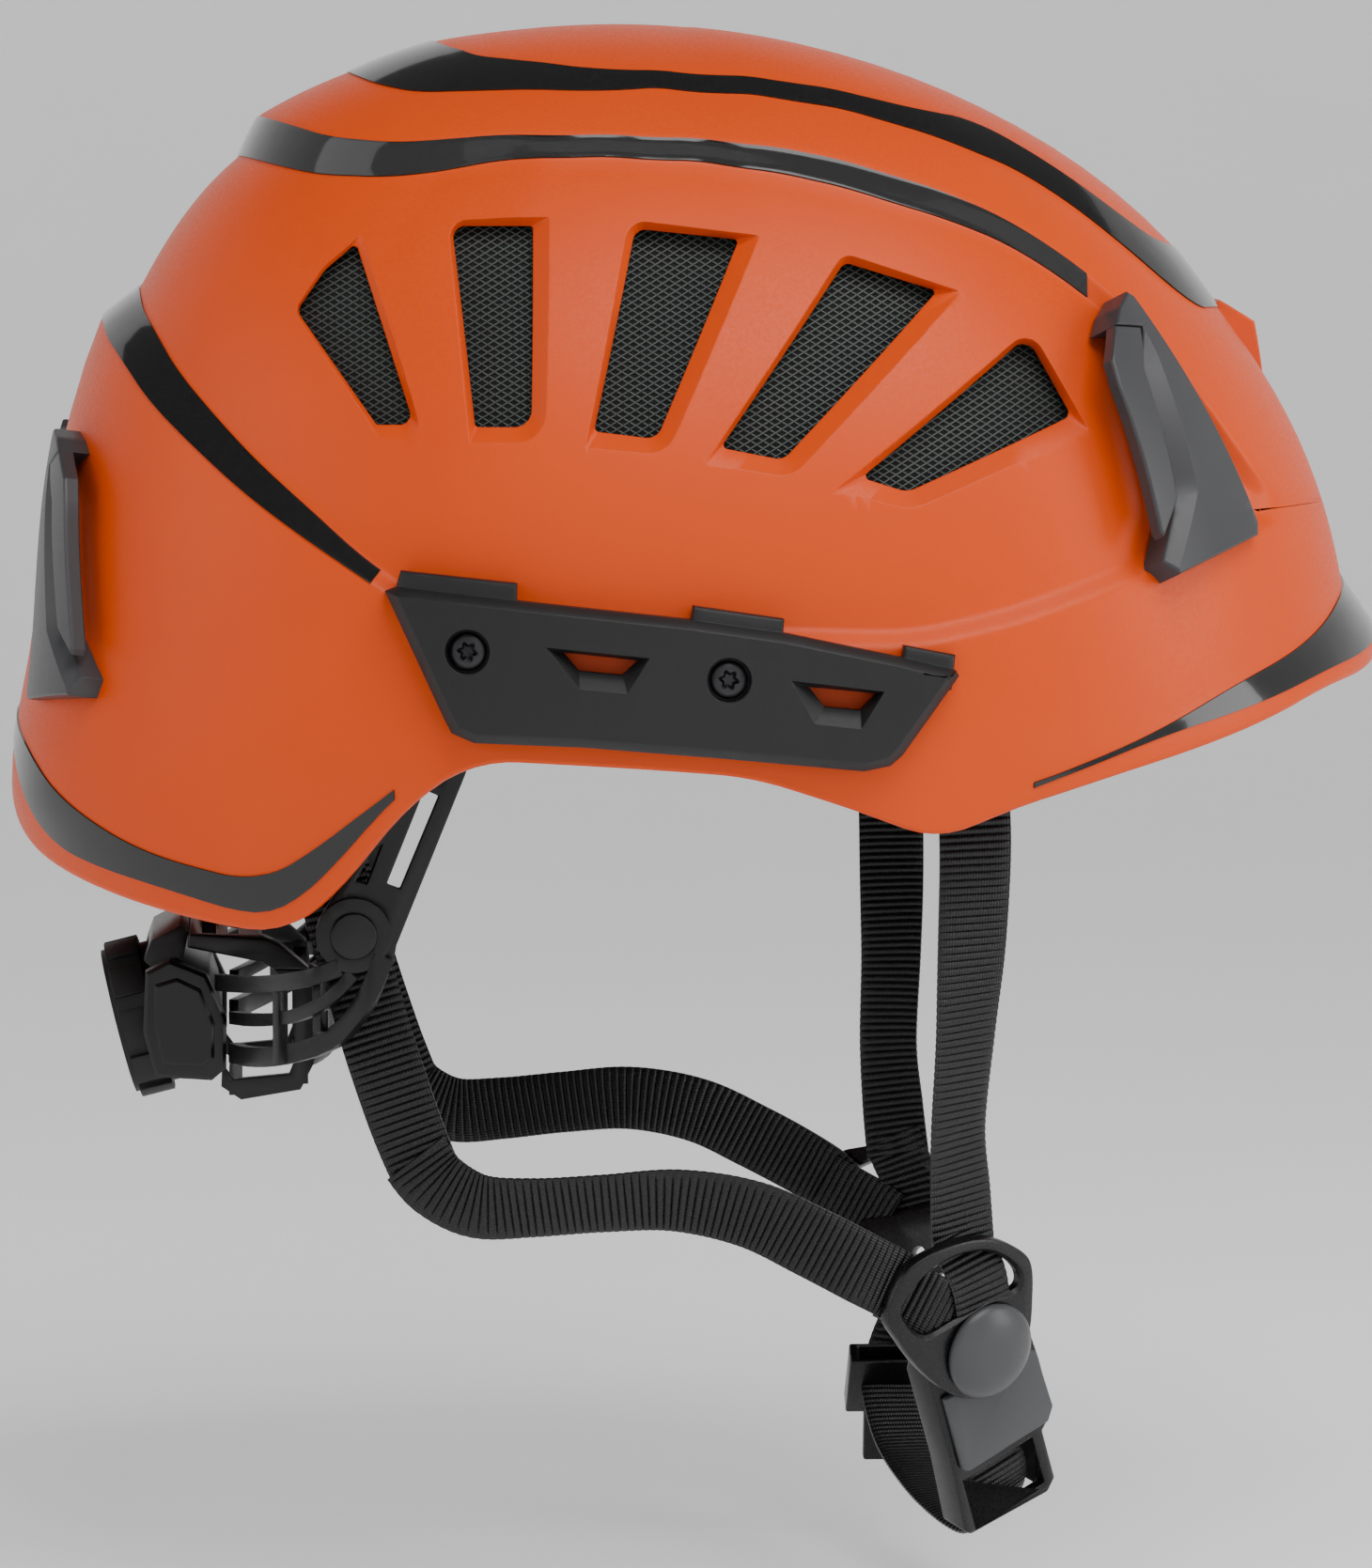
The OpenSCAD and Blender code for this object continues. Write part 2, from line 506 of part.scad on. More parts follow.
// ---------- yoke and nape adjuster ----------
yoke_y = -73;
stud_at = [-71.9, -37.7];
yoke_t = 2.2;
nape_t = 2.2;
head_r = 7.2;
stud_gap = 0.3;
YOKE = [[-57.5, 22], [-47.5, 22], [-46.5, 2], [-49.5, -6], [-63.3, -40], [-64, -44],
        [-79.2, -41], [-79, -35], [-66, -14], [-60, 2]];
YOKE_SLOTS = [[[-57.6, -8.8], [-54.8, -10], [-62.6, -28.6], [-65.2, -27.6]],
              [[-57, -2.5], [-54, -2.5], [-54, -6], [-57, -6.5]],
              [[-68, -21], [-66.4, -20], [-69.2, -27.5], [-71.4, -27]]];
module yoke_arm() {
    difference() {
        union() {
            translate([0, yoke_y, 0]) rotate([90, 0, 0]) linear_extrude(yoke_t) polygon(YOKE);
            translate([stud_at[0], yoke_y, stud_at[1]]) rotate([90, 0, 0])
                cylinder(r = head_r, h = yoke_t, $fn = fine);
            // boss that snaps on to the headband
            translate([-52, -68, 12]) rotate([90, 0, 0]) cylinder(r = 4, h = 5.1, $fn = fine);
        }
        for (slot = YOKE_SLOTS) translate([0, yoke_y + 1, 0]) rotate([90, 0, 0])
            linear_extrude(yoke_t + 2) polygon(slot);
        translate([stud_at[0], yoke_y + 1, stud_at[1]]) rotate([90, 0, 0])
            cylinder(r = stud_r + run_gap, h = yoke_t + 2, $fn = fine);
    }
}
module yoke_arm_right() { color(BLACK) yoke_arm(); }
module yoke_arm_left() { color(BLACK) mirror([0, 1, 0]) yoke_arm(); }
// Stud: a shank through arm and band with a flange on each side
flange_t = 1.2;
flange_r = 4.6;
module stud() {
    translate([stud_at[0], yoke_y + flange_t + 0.15, stud_at[1]]) rotate([90, 0, 0]) {
        cylinder(r = flange_r, h = flange_t, $fn = fine);
        cylinder(r = stud_r, h = 2 * flange_t + yoke_t + nape_t + stud_gap + 0.3, $fn = fine);
        translate([0, 0, flange_t + yoke_t + nape_t + stud_gap + 0.3])
            cylinder(r = flange_r, h = flange_t, $fn = fine);
    }
}
module pivot_studs() {
    color("#111113") {
        stud();
        mirror([0, 1, 0]) stud();
    }
}
nape_y = yoke_y - yoke_t - stud_gap;
// Each nape band is three bars from a ring on the stud, round the nape to the housing
UPPER_BAR = [[-75, nape_y - 1.1, -44], [-80, nape_y - 0.9, -46], [-86, -67, -48.2],
             [-92, -53, -50.2], [-96.5, -42, -51.3], [-98.8, -37, -51.6]];
MIDDLE_BAR = [[-72, nape_y - 1.1, -45.5], [-77, nape_y + 1, -51], [-84, -64, -55.5],
              [-91, -49, -58], [-95.9, -36.7, -59]];
LOWER_BAR = [[-66, nape_y - 1.1, -42], [-69.5, nape_y - 0.6, -51], [-76, -69, -59.5],
             [-86, -59, -64], [-92.5, -47, -65.8], [-96, -36.7, -66.2]];
function bar_section(route, i, high) =
    let (t = tangent(route, i), p = [route[i][0], route[i][1], route[i][2]],
         n = unit(cross(t, [0, 0, 1])), w = cross(n, t))
    [p + w * high / 2 - n * nape_t / 2, p - w * high / 2 - n * nape_t / 2,
     p - w * high / 2 + n * nape_t / 2, p + w * high / 2 + n * nape_t / 2];
module nape_bar(route, high) {
    points = smooth([for (p = route) [p[0], p[1], p[2], 0]]);
    bar([for (i = [0:len(points) - 1]) bar_section(points, i, high)]);
}
module nape_band() {
    difference() {
        union() {
            nape_bar(UPPER_BAR, 3.4);
            nape_bar(MIDDLE_BAR, 2.6);
            nape_bar(LOWER_BAR, 4);
            translate([stud_at[0], nape_y, stud_at[1]]) rotate([90, 0, 0])
                cylinder(r = head_r + 0.3, h = nape_t, $fn = fine);
            translate([-86.5, -60.5, -57]) rotate([0, 0, -54]) cube([2, 2.4, 17], center = true);
            translate([-78.5, -68, -52]) rotate([0, 0, -40]) cube([2, 2.4, 12], center = true);
        }
        translate([stud_at[0], nape_y + 1, stud_at[1]]) rotate([90, 0, 0])
            cylinder(r = stud_r + run_gap, h = nape_t + 2, $fn = fine);
    }
}
module nape_band_right() { color(BLACK) nape_band(); }
module nape_band_left() { color(BLACK) mirror([0, 1, 0]) nape_band(); }

// Ratchet housing: its knob faces rearwards and down
axis_tilt = 14;
knob_at = [-110, 0, -61.5];
module on_axis() {
    translate(knob_at) rotate([0, 90 - axis_tilt, 0]) children();
}
// Slab with the given outline, seen from the right side, between two places across the part
module across(outline, from, to) {
    translate([0, to, 0]) rotate([90, 0, 0]) linear_extrude(to - from) polygon(outline);
}
housing_half = 31.5;
HOUSING = [[-113, -50], [-108, -48], [-101, -51.5], [-98.5, -59], [-98.5, -69], [-101, -71],
           [-111, -70.5], [-113.5, -62]];
TOWER = [[-114.5, -48.5], [-113, -44.5], [-107, -41.4], [-105.2, -42.6], [-106.5, -48.9],
         [-108, -48.3], [-112.8, -50]];
module ratchet_housing() {
    color(BLACK) difference() {
        union() {
            across(HOUSING, -housing_half, housing_half);
            across(TOWER, -24, 24);
        }
        // seat of the knob and bearing of its spindle
        on_axis() translate([0, 0, -18]) cylinder(r = knob_r + 0.8, h = 17.8, $fn = fine);
        on_axis() translate([0, 0, -1]) cylinder(r = spindle_r + run_gap, h = 9, $fn = fine);
        on_axis() translate([0, 0, 2]) cylinder(r = pinion_r + 0.5, h = pinion_h + 1, $fn = fine);
        // channel for the two nape bands
        on_axis() translate([0, 0, 4.8]) cube([8, 90, 4.6], center = true);
    }
}
// Side covers close the housing's ends where the bands run in
COVER = [[-114, -49.5], [-109, -47], [-101.5, -50], [-97.4, -59], [-97.5, -69.5], [-100.5, -72],
         [-112, -71.2], [-114.5, -62]];
COVER_FACET = [[-112, -52], [-107, -50], [-103, -53], [-100.5, -60], [-100.5, -67.5], [-103, -69],
               [-110.5, -68.5]];
cover_w = 6.5;
module ratchet_cover() {
    difference() {
        across(COVER, -housing_half - cover_w, -housing_half - 0.05);
        across(COVER_FACET, -housing_half - cover_w - 1, -housing_half - cover_w + 0.8);
        on_axis() translate([0, -36, 4.8]) cube([8, 30, 4.6], center = true);
    }
}
module ratchet_cover_right() { color(BLACK) ratchet_cover(); }
module ratchet_cover_left() { color(BLACK) mirror([0, 1, 0]) ratchet_cover(); }
pinion_r = 5;
pinion_h = 4;
teeth = 12;
module drive_pinion() {
    color("#C9C9C6") on_axis() translate([0, 0, 2.4]) difference() {
        union() {
            cylinder(r = pinion_r - 1, h = pinion_h, $fn = fine);
            for (i = [0:teeth - 1]) rotate([0, 0, i * 360 / teeth])
                translate([pinion_r - 1.4, -0.6, 0]) cube([1.4, 1.2, pinion_h]);
        }
        translate([0, 0, -1]) cylinder(r = spindle_r - 1, h = pinion_h + 2, $fn = fine);
    }
}
grips = 10;
knob_gap = 0.5;
neck_h = 2;
module adjustment_knob() {
    color(BLACK) on_axis() {
        difference() {
            union() {
                translate([0, 0, -knob_gap - neck_h]) cylinder(r = knob_r - 1.8, h = neck_h, $fn = fine);
                translate([0, 0, -knob_gap - knob_t + 1])
                    cylinder(r = knob_r, h = knob_t - neck_h - 1, $fn = fine);
                translate([0, 0, -knob_gap - knob_t]) cylinder(r = knob_r - 1.4, h = 2, $fn = fine);
            }
            for (i = [0:grips - 1]) rotate([0, 0, i * 360 / grips])
                translate([knob_r - 1.4, -1.5, -knob_gap - knob_t - 1])
                    cube([3, 3, knob_t - neck_h + 1]);
            translate([0, 0, -knob_gap - knob_t - 0.1]) cylinder(r = knob_r - 4.5, h = 1.3, $fn = fine);
        }
        translate([0, 0, -knob_gap - 0.1]) cylinder(r = spindle_r, h = 3, $fn = fine);
        translate([0, 0, 2.2]) cylinder(r = spindle_r - 1.05, h = pinion_h + 0.4, $fn = fine);
    }
}
// Bracket over the housing, braced down to the open frame below it, which carries the pad
BRACKET = [[-105, -42.4], [-105.5, -45.2], [-90, -48.4], [-87.5, -50], [-83, -50], [-80.2, -50],
           [-86.5, -44.6], [-89.5, -43.4]];
bracket_half = 30;
module nape_bracket() {
    color(BLACK) difference() {
        across(BRACKET, -bracket_half, bracket_half);
        // slots across the plate, and an open middle that leaves a brace at each side
        for (side = [-1, 1]) translate([-101, side * 16, -45]) cube([3, 20, 12], center = true);
        translate([-96 - 1.2, -24, -52]) cube([2.4, 48, 12]);
        translate([-90, -22, -54]) cube([14, 44, 14]);
    }
}
FRAME = [[-98.4, -69.6], [-96, -72.8], [-84.5, -71.8], [-83.4, -69], [-83.4, -54], [-87.4, -50.06],
         [-80.1, -50.06], [-79.6, -54], [-79.4, -69.5], [-82.2, -75], [-94.5, -77], [-98.6, -74.2]];
frame_w = 3;
module nape_frame() {
    color(BLACK) {
        for (side = [-1, 1])
            across(FRAME, side * (bracket_half - frame_w / 2) - frame_w / 2,
                   side * (bracket_half - frame_w / 2) + frame_w / 2);
        for (spot = [[-95.6, -74.8], [-82, -72.6], [-81.6, -53]])
            translate([spot[0], 0, spot[1]]) cube([2.8, 2 * bracket_half - 1, 2.6], center = true);
    }
}
pad_bend_r = 68.4;
module nape_pad() {
    color("#303134") intersection() {
        translate([-79.2 - pad_bend_r, 0, -62.8]) difference() {
            cylinder(r = pad_bend_r + 5, h = 17, center = true, $fn = 96);
            cylinder(r = pad_bend_r, h = 19, center = true, $fn = 96);
        }
        translate([-80, 0, -62.8]) cube([24, 53, 18], center = true);
    }
}

// ---------- chin harness ----------
// Routes are chosen by hand: x, y, z and the turn about the ribbon's run
FRONT_ROUTE = [[48.6, -77.6, 14, 0], [50.8, -82.4, -3, 0], [52, -83.8, -18, 4], [52, -79.5, -39, 14],
    [51.4, -74, -59, 30], [50.4, -70, -79, 36], [51.4, -68, -93, 26], [53, -67.3, -103, 14]];
REAR_ROUTE = [[-83, -64, 6, 0], [-80, -63.5, -12, 0], [-75, -64, -32, 0], [-70.5, -64.5, -48, 0],
    [-66.5, -65, -62, 0], [-61.5, -66, -77, -8], [-57.5, -67, -87, -16]];
LOWER_ROUTE = [[-59.5, -67.6, -84, -8], [-55, -68.6, -89.5, -14], [-47, -70.6, -93.5, -20],
    [-36, -73, -93.6, -28], [-22, -75, -92.6, -30], [-7, -76, -92, -24], [8, -76.3, -95, -14],
    [21, -76.2, -101.2, -4], [32, -76, -107, 6], [38, -76, -110.2, 12]];
module harness(route, outward = [0, -1, 0]) { ribbon(smooth(fit(route)), web_w, web_t, outward); }
module front_strap_right() { color(BLACK) harness(FRONT_ROUTE); }
module front_strap_left() { color(BLACK) mirror([0, 1, 0]) harness(FRONT_ROUTE); }
module rear_strap_right() { color(BLACK) harness(REAR_ROUTE); }
module rear_strap_left() { color(BLACK) mirror([0, 1, 0]) harness(REAR_ROUTE); }
module lower_strap_right() { color(BLACK) harness(LOWER_ROUTE); }
module lower_strap_left() { color(BLACK) mirror([0, 1, 0]) harness(LOWER_ROUTE); }
// Rivets that hold the four straps to the liner
anchor_r = 4;
anchor_h = 2.4;
ANCHORS = [[49.2, -78.6, 8.5], [-82.4, -64, 2]];
module strap_anchors() {
    color("#111113") for (side = [1, -1]) scale([1, side, 1]) for (a = ANCHORS)
        translate([a[0] * kx, a[1] * ky, a[2] * kz]) rotate([90, 0, 0])
            translate([0, 0, -web_t / 2 - anchor_h - 0.9])
            cylinder(r = anchor_r, h = anchor_h, $fn = fine);
}

// Divider and buckle share a frame: they face outwards and forwards, and hang forwards
cap_at = [57.6, -61, -125.8];
face_n = unit([0.503, -0.839, -0.208]);
face_v = unit([-0.265, -0.379, 0.887] - face_n * ([-0.265, -0.379, 0.887] * face_n));
face_u = cross(face_v, face_n);
module at_cap() {
    multmatrix([[face_u[0], face_v[0], face_n[0], cap_at[0] * kx],
                [face_u[1], face_v[1], face_n[1], cap_at[1] * ky],
                [face_u[2], face_v[2], face_n[2], cap_at[2] * kz], [0, 0, 0, 1]]) children();
}
rivet_r = 1.6;
module divider_frame(foot = []) {
    ring = [[-16.4, 20.8], [-9.4, 24.2], [3.2, 21.4], [11.3, 11.6], [-10.6, 3.6]];
    translate([0, 0, -divider_t]) difference() {
        linear_extrude(divider_t) difference() {
            hull() {
                for (spot = concat(ring, foot)) translate(spot) circle(r = 4.2, $fn = 32);
                circle(r = 9.6, $fn = 32);
            }
            hull() for (spot = [[-15, 18.6], [-8.8, 22], [-1.6, 22.2], [4.2, 19.7], [10.2, 11.6],
                                [9.2, 10.6], [-3, 12], [-12.8, 14.6]])
                translate(spot) circle(r = 1.7, $fn = 24);
        }
        translate([0, 0, -1]) cylinder(r = rivet_r + run_gap, h = divider_t + 2, $fn = fine);
    }
}
module divider_right() { color(BLACK) at_cap() divider_frame(); }
// The left divider holds the chin strap in a slot of its own
module divider_left() {
    color(BLACK) mirror([0, 1, 0]) at_cap() difference() {
        divider_frame([[-8, -8], [8, -8]]);
        translate([-web_w / 2 - 0.6, -9, -divider_t - 1]) cube([web_w + 1.2, 3, divider_t + 2]);
    }
}
// Round cap riveted to the right divider, with the stem that the buckle slides on to
cap_t = 4.5;
stem_r = 2.6;
stem_t = 2.6;
buckle_gap = 0.6;
buckle_face = -divider_t - buckle_gap;
module divider_cap() {
    color(GREY) at_cap() {
        translate([0, 0, 0.05]) rotate_extrude($fn = 96)
            polygon([[0, 0], [cap_r, 0], [cap_r, cap_t - 2], [cap_r - 1, cap_t - 0.9],
                     [cap_r - 3.5, cap_t - 0.2], [0, cap_t]]);
        translate([0, 0, buckle_face - 2.4]) cylinder(r = rivet_r, h = 2.5 - buckle_face, $fn = fine);
        translate([0, 0, buckle_face - 2.2 - stem_t]) cylinder(r = stem_r, h = stem_t, $fn = fine);
    }
}
slot_w = 18.4;
slot_h = 12;
neck_x = 3.6;       // the housing is narrower beside the strap slot
module buckle_housing() {
    half = buckle_w / 2;
    foot = -buckle_l;
    color(BLACK) at_cap() difference() {
        translate([0, 0, buckle_face - buckle_t]) linear_extrude(buckle_t)
            polygon([[-half + 0.4, -2], [-half + 2.4, 1.6], [-half + 4.6, 4.4], [half - 4.6, 4.4],
                     [half - 2.2, 1.4], [half - 0.6, -3], [half, -12], [half, -23.4],
                     [half - 1, -26.4], [half - neck_x, -28.4], [half - neck_x, foot + 1.4],
                     [half - neck_x - 2.6, foot - 0.9], [-half + 0.6, foot + 0.6],
                     [-half - 0.6, foot + 2], [-half + 0.4, -24]]);
        // pocket and slot for the stem, open at the top
        translate([-stem_r - 0.4, -4, buckle_face - 5.4]) cube([2 * stem_r + 0.8, 24, 3.6]);
        translate([-rivet_r - 0.4, -3, buckle_face - 4]) cube([2 * rivet_r + 0.8, 24, 6]);
        // slot for the chin strap, with a thin bar at its foot
        translate([-half + 2.4, foot + 1.4, buckle_face - buckle_t - 1])
            cube([slot_w, slot_h, buckle_t + 2]);
        translate([-half + 2.4, foot - 4, buckle_face - buckle_t - 1]) cube([slot_w, 6, buckle_t - 2]);
    }
}
module buckle_cover() {
    half = buckle_w / 2;
    color(GREY) at_cap() translate([0, 0, buckle_face + 0.02]) difference() {
        linear_extrude(1.6) polygon([[-half + 2, -7], [half - 4, -6.6], [half - 1.2, -8.8],
            [half - 0.6, -23.2], [half - 2.6, -26], [-half + 3.4, -26], [-half + 2, -25]]);
        translate([0, 0, -1]) cylinder(r = cap_r + 0.7, h = 4, $fn = fine);
    }
}
CHIN_ROUTE = [[58.8, 55.6, -133, 26], [54.5, 55, -138, 18], [51, 51, -146, 8], [49.3, 45, -152.5, 2],
    [50.5, 28, -161.5, 0], [54, 4, -166.5, 0], [58.5, -18, -167.5, -14], [62, -31, -166, -30],
    [62.6, -37.5, -160.5, -40], [61, -43, -154, -42]];
module chin_strap() { color(BLACK) harness(CHIN_ROUTE, [0, 0, -1]); }
module strap_adjuster() {
    color(BLACK) translate([49.6 * kx, 46.8 * ky, -151 * kz]) rotate([-48, 0, 0]) difference() {
        cube([web_w + 6, 18, 5.4], center = true);
        cube([web_w + 2, 30, web_t + 2.2], center = true);
    }
}
module strap_end_loop() {
    color(BLACK) translate([50 * kx, 45 * ky, -163 * kz]) rotate([-80, 0, 0])
        cube([web_w, 12, 3.2], center = true);
}

outer_shell();
foam_liner();
vent_mesh();  // vent_mesh_right
mirror([0, 1, 0]) vent_mesh();  // vent_mesh_left
crown_film();
crown_edge_film();
rear_band_film();
rear_rim_film();
brim_film();
side_rail_right();
side_rail_left();
rail_screws();
front_clip_right();
front_clip_left();
rear_clip_right();
rear_clip_left();
front_tongue_right();
front_tongue_left();
rear_tongue_right();
rear_tongue_left();
headband();
forehead_pad();
cradle_straps();
cradle_clips();
crown_pad();
yoke_arm_right();
yoke_arm_left();
pivot_studs();
nape_band_right();
nape_band_left();
ratchet_housing();
ratchet_cover_right();
ratchet_cover_left();
nape_bracket();
nape_frame();
nape_pad();
adjustment_knob();
drive_pinion();
front_strap_right();
front_strap_left();
rear_strap_right();
rear_strap_left();
lower_strap_right();
lower_strap_left();
strap_anchors();
divider_right();
divider_left();
divider_cap();
buckle_housing();
buckle_cover();
chin_strap();
strap_adjuster();
strap_end_loop();
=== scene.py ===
import json
import math

import bmesh
import bpy
import numpy as np
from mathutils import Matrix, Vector

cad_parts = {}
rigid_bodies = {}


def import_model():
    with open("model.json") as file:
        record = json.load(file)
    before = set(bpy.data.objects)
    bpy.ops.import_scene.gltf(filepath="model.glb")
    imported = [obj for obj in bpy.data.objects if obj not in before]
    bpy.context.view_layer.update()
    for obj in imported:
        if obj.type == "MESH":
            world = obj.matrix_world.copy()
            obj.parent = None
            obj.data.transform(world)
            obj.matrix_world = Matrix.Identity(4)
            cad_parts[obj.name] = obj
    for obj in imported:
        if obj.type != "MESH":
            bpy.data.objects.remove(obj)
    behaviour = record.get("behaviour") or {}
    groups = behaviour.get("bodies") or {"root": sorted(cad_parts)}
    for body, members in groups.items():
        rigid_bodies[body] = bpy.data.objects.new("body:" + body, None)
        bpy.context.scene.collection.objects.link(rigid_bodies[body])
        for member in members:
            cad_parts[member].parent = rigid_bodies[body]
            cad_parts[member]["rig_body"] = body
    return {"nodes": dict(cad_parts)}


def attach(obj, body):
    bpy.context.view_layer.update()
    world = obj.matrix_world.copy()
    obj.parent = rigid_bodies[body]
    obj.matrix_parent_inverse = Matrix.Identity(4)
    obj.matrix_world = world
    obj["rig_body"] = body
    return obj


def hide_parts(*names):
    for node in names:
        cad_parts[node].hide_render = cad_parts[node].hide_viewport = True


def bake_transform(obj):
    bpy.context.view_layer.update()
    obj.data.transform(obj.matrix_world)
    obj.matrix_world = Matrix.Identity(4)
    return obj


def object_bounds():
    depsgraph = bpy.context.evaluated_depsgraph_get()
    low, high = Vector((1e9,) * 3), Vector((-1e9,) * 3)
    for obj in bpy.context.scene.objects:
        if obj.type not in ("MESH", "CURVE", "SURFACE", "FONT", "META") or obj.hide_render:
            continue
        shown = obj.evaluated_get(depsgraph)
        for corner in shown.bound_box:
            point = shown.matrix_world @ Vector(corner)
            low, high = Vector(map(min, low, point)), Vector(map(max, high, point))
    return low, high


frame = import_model()
cad_low, cad_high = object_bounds()
nodes = frame["nodes"]
MM = 0.001

# ---------- camera and studio ----------
# A long lens a little behind square-on to the right side, above a pale seamless floor, with a
# big soft box over the crown, smaller ones behind the nape and before the brow, and a weak fill.
aim = Vector((0, 0, -0.0145))
azimuth = math.radians(-4)
elevation = math.radians(5)
away = Vector((math.sin(azimuth) * math.cos(elevation), -math.cos(azimuth) * math.cos(elevation),
               math.sin(elevation)))
lens_mm, distance = 146.1, 1.35
camera = bpy.data.objects.new("camera", bpy.data.cameras.new("camera"))
camera.data.lens = lens_mm
camera.location = aim + away * distance
camera.rotation_euler = (-away).to_track_quat("-Z", "Y").to_euler()
bpy.context.scene.collection.objects.link(camera)
bpy.context.scene.camera = camera


def colour(text):
    """A colour written as sRGB hex, turned to linear light."""
    parts = [int(text[i:i + 2], 16) / 255 for i in (1, 3, 5)]
    return [p / 12.92 if p <= 0.04045 else ((p + 0.055) / 1.055) ** 2.4 for p in parts] + [1]


def add(tree, kind, inputs=None, **settings):
    """A shader node with its settings, and its inputs set or linked."""
    made = tree.nodes.new(kind)
    for name, value in settings.items():
        setattr(made, name, value)
    for name, value in (inputs or {}).items():
        if isinstance(value, bpy.types.NodeSocket):
            tree.links.new(value, made.inputs[name])
        else:
            made.inputs[name].default_value = value
    return made


def soft_light(name, place, size, watts, tint="#FFFFFF"):
    """A rectangular soft box aimed at the middle of the helmet."""
    light = bpy.data.objects.new(name, bpy.data.lights.new(name, "AREA"))
    light.data.shape = "RECTANGLE"
    light.data.size, light.data.size_y = size
    light.data.energy = watts
    light.data.color = colour(tint)[:3]
    light.location = place
    light.rotation_euler = (Vector(place) - Vector((0, 0, 0.02))).to_track_quat("Z", "Y").to_euler()
    bpy.context.scene.collection.objects.link(light)


soft_light("box_over_crown", (0.3, -0.75, 1.15), (1.0, 0.8), 16)
soft_light("box_behind_nape", (-1.15, -0.35, 0.45), (0.7, 1.0), 3)
soft_light("box_before_brow", (1.2, -0.5, 0.35), (0.5, 0.9), 7)
soft_light("fill_by_camera", (0.1, -1.6, 0.3), (1.2, 1.0), 1.6)
world = bpy.data.worlds.new("studio")
world.use_nodes = True
world.node_tree.nodes["Background"].inputs["Color"].default_value = colour("#F4F5F7")
world.node_tree.nodes["Background"].inputs["Strength"].default_value = 0.12
bpy.context.scene.world = world


def new_object(name, points, faces, uv=None):
    """An object from points in metres and faces, with an optional UV for each point."""
    mesh = bpy.data.meshes.new(name)
    mesh.from_pydata([tuple(p) for p in points], [], [tuple(f) for f in faces])
    if uv is not None:
        layer = mesh.uv_layers.new(name="UVMap")
        index = np.zeros(len(mesh.loops), np.int32)
        mesh.loops.foreach_get("vertex_index", index)
        layer.data.foreach_set("uv", np.asarray(uv, np.float32)[index].ravel())
    mesh.update()
    obj = bpy.data.objects.new(name, mesh)
    bpy.context.scene.collection.objects.link(obj)
    return obj


def shade(obj, material, sharp=30):
    """Smooth shading with hard edges over the given angle, and one material."""
    obj.data.materials.clear()
    obj.data.materials.append(material)
    obj.data.shade_smooth()
    obj.data.set_sharp_from_angle(angle=math.radians(sharp))


def new_material(name):
    """A material with its tree and its principled shader."""
    made = bpy.data.materials.new(name)
    made.use_nodes = True
    return made, made.node_tree, made.node_tree.nodes["Principled BSDF"]


def tube_faces(rings, around):
    """Four-sided faces between rings of points, each ring closed on itself."""
    return [(i * around + j, i * around + (j + 1) % around, (i + 1) * around + (j + 1) % around,
             (i + 1) * around + j) for i in range(rings - 1) for j in range(around)]


def spun(profile, around):
    """The points of a profile of (radius, height) spun about the upright axis, ring by ring."""
    return [(r * math.cos(2 * math.pi * k / around), r * math.sin(2 * math.pi * k / around), z)
            for r, z in profile for k in range(around)]


# Seamless paper: a wide disc that curves up into a wall all round. It lies low enough for the
# buckle to slide down off its cap.
paper, tree, shader = new_material("seamless_paper")
grain = add(tree, "ShaderNodeTexNoise", {"Scale": 60, "Detail": 4})
tone = add(tree, "ShaderNodeMapRange", {"Value": grain.outputs["Fac"], "To Min": 0.9, "To Max": 0.96})
tree.links.new(tone.outputs["Result"], shader.inputs["Base Color"])
shader.inputs["Roughness"].default_value = 0.85
shader.inputs["Emission Color"].default_value = colour("#FFFFFF")
shader.inputs["Emission Strength"].default_value = 0.22
floor_z = cad_low[2] - 0.016
floor_radius, sweep, wall_top, turns = 2.2, 0.9, 2.6, 64
profile = [(floor_radius, 0)]
profile += [(floor_radius + sweep * math.sin(a), sweep - sweep * math.cos(a))
            for a in np.radians(range(10, 91, 10))]
profile += [(floor_radius + sweep, wall_top)]
points = spun([(r, floor_z + z) for r, z in profile], turns) + [(0, 0, floor_z)]
faces = tube_faces(len(profile), turns)
faces += [(k, (k + 1) % turns, len(points) - 1) for k in range(turns)]
floor = new_object("seamless_floor", points, faces)
shade(floor, paper)

# ---------- moulded outer shell ----------
# One injection-moulded ABS skin: a closed curve of directions about a centre in the dome, with
# a ledge, a sunk vent zone, a crown plate and a flared brim. Moulded-in fine spark grain takes
# the gloss off, and the steps keep crisp but rounded edges.
centre_z = 20
FRONT = [146, 143, 140, 136, 131, 127.5, 124.5, 123.5, 125]
REAR = [150, 148, 138.5, 137.5, 140, 141.5, 136, 129, 125]
SIDE = [114, 110.5, 108, 108.5, 110.5, 114, 119.5, 123.5, 125]
RIM = [(0, -1), (26, -3.7), (49, -11), (60, -15), (67, -18.5), (75, -16), (87, -12.5), (115, -10),
       (121, -13), (130, -22), (136, -25), (140, -24.3), (157, -19.5), (169, -16.5), (180, -12)]
STRIPE_LOW = [(0, 0.6), (26, -2.6), (45, -7.7), (58, -13), (67, -17), (75, -14.5), (87, -11),
              (115, -8.6), (123, -13.2), (128, -18.5), (135, -23.3), (138, -23.4), (147, -20.2),
              (161, -16.6), (173, -9.6), (180, -8.5)]
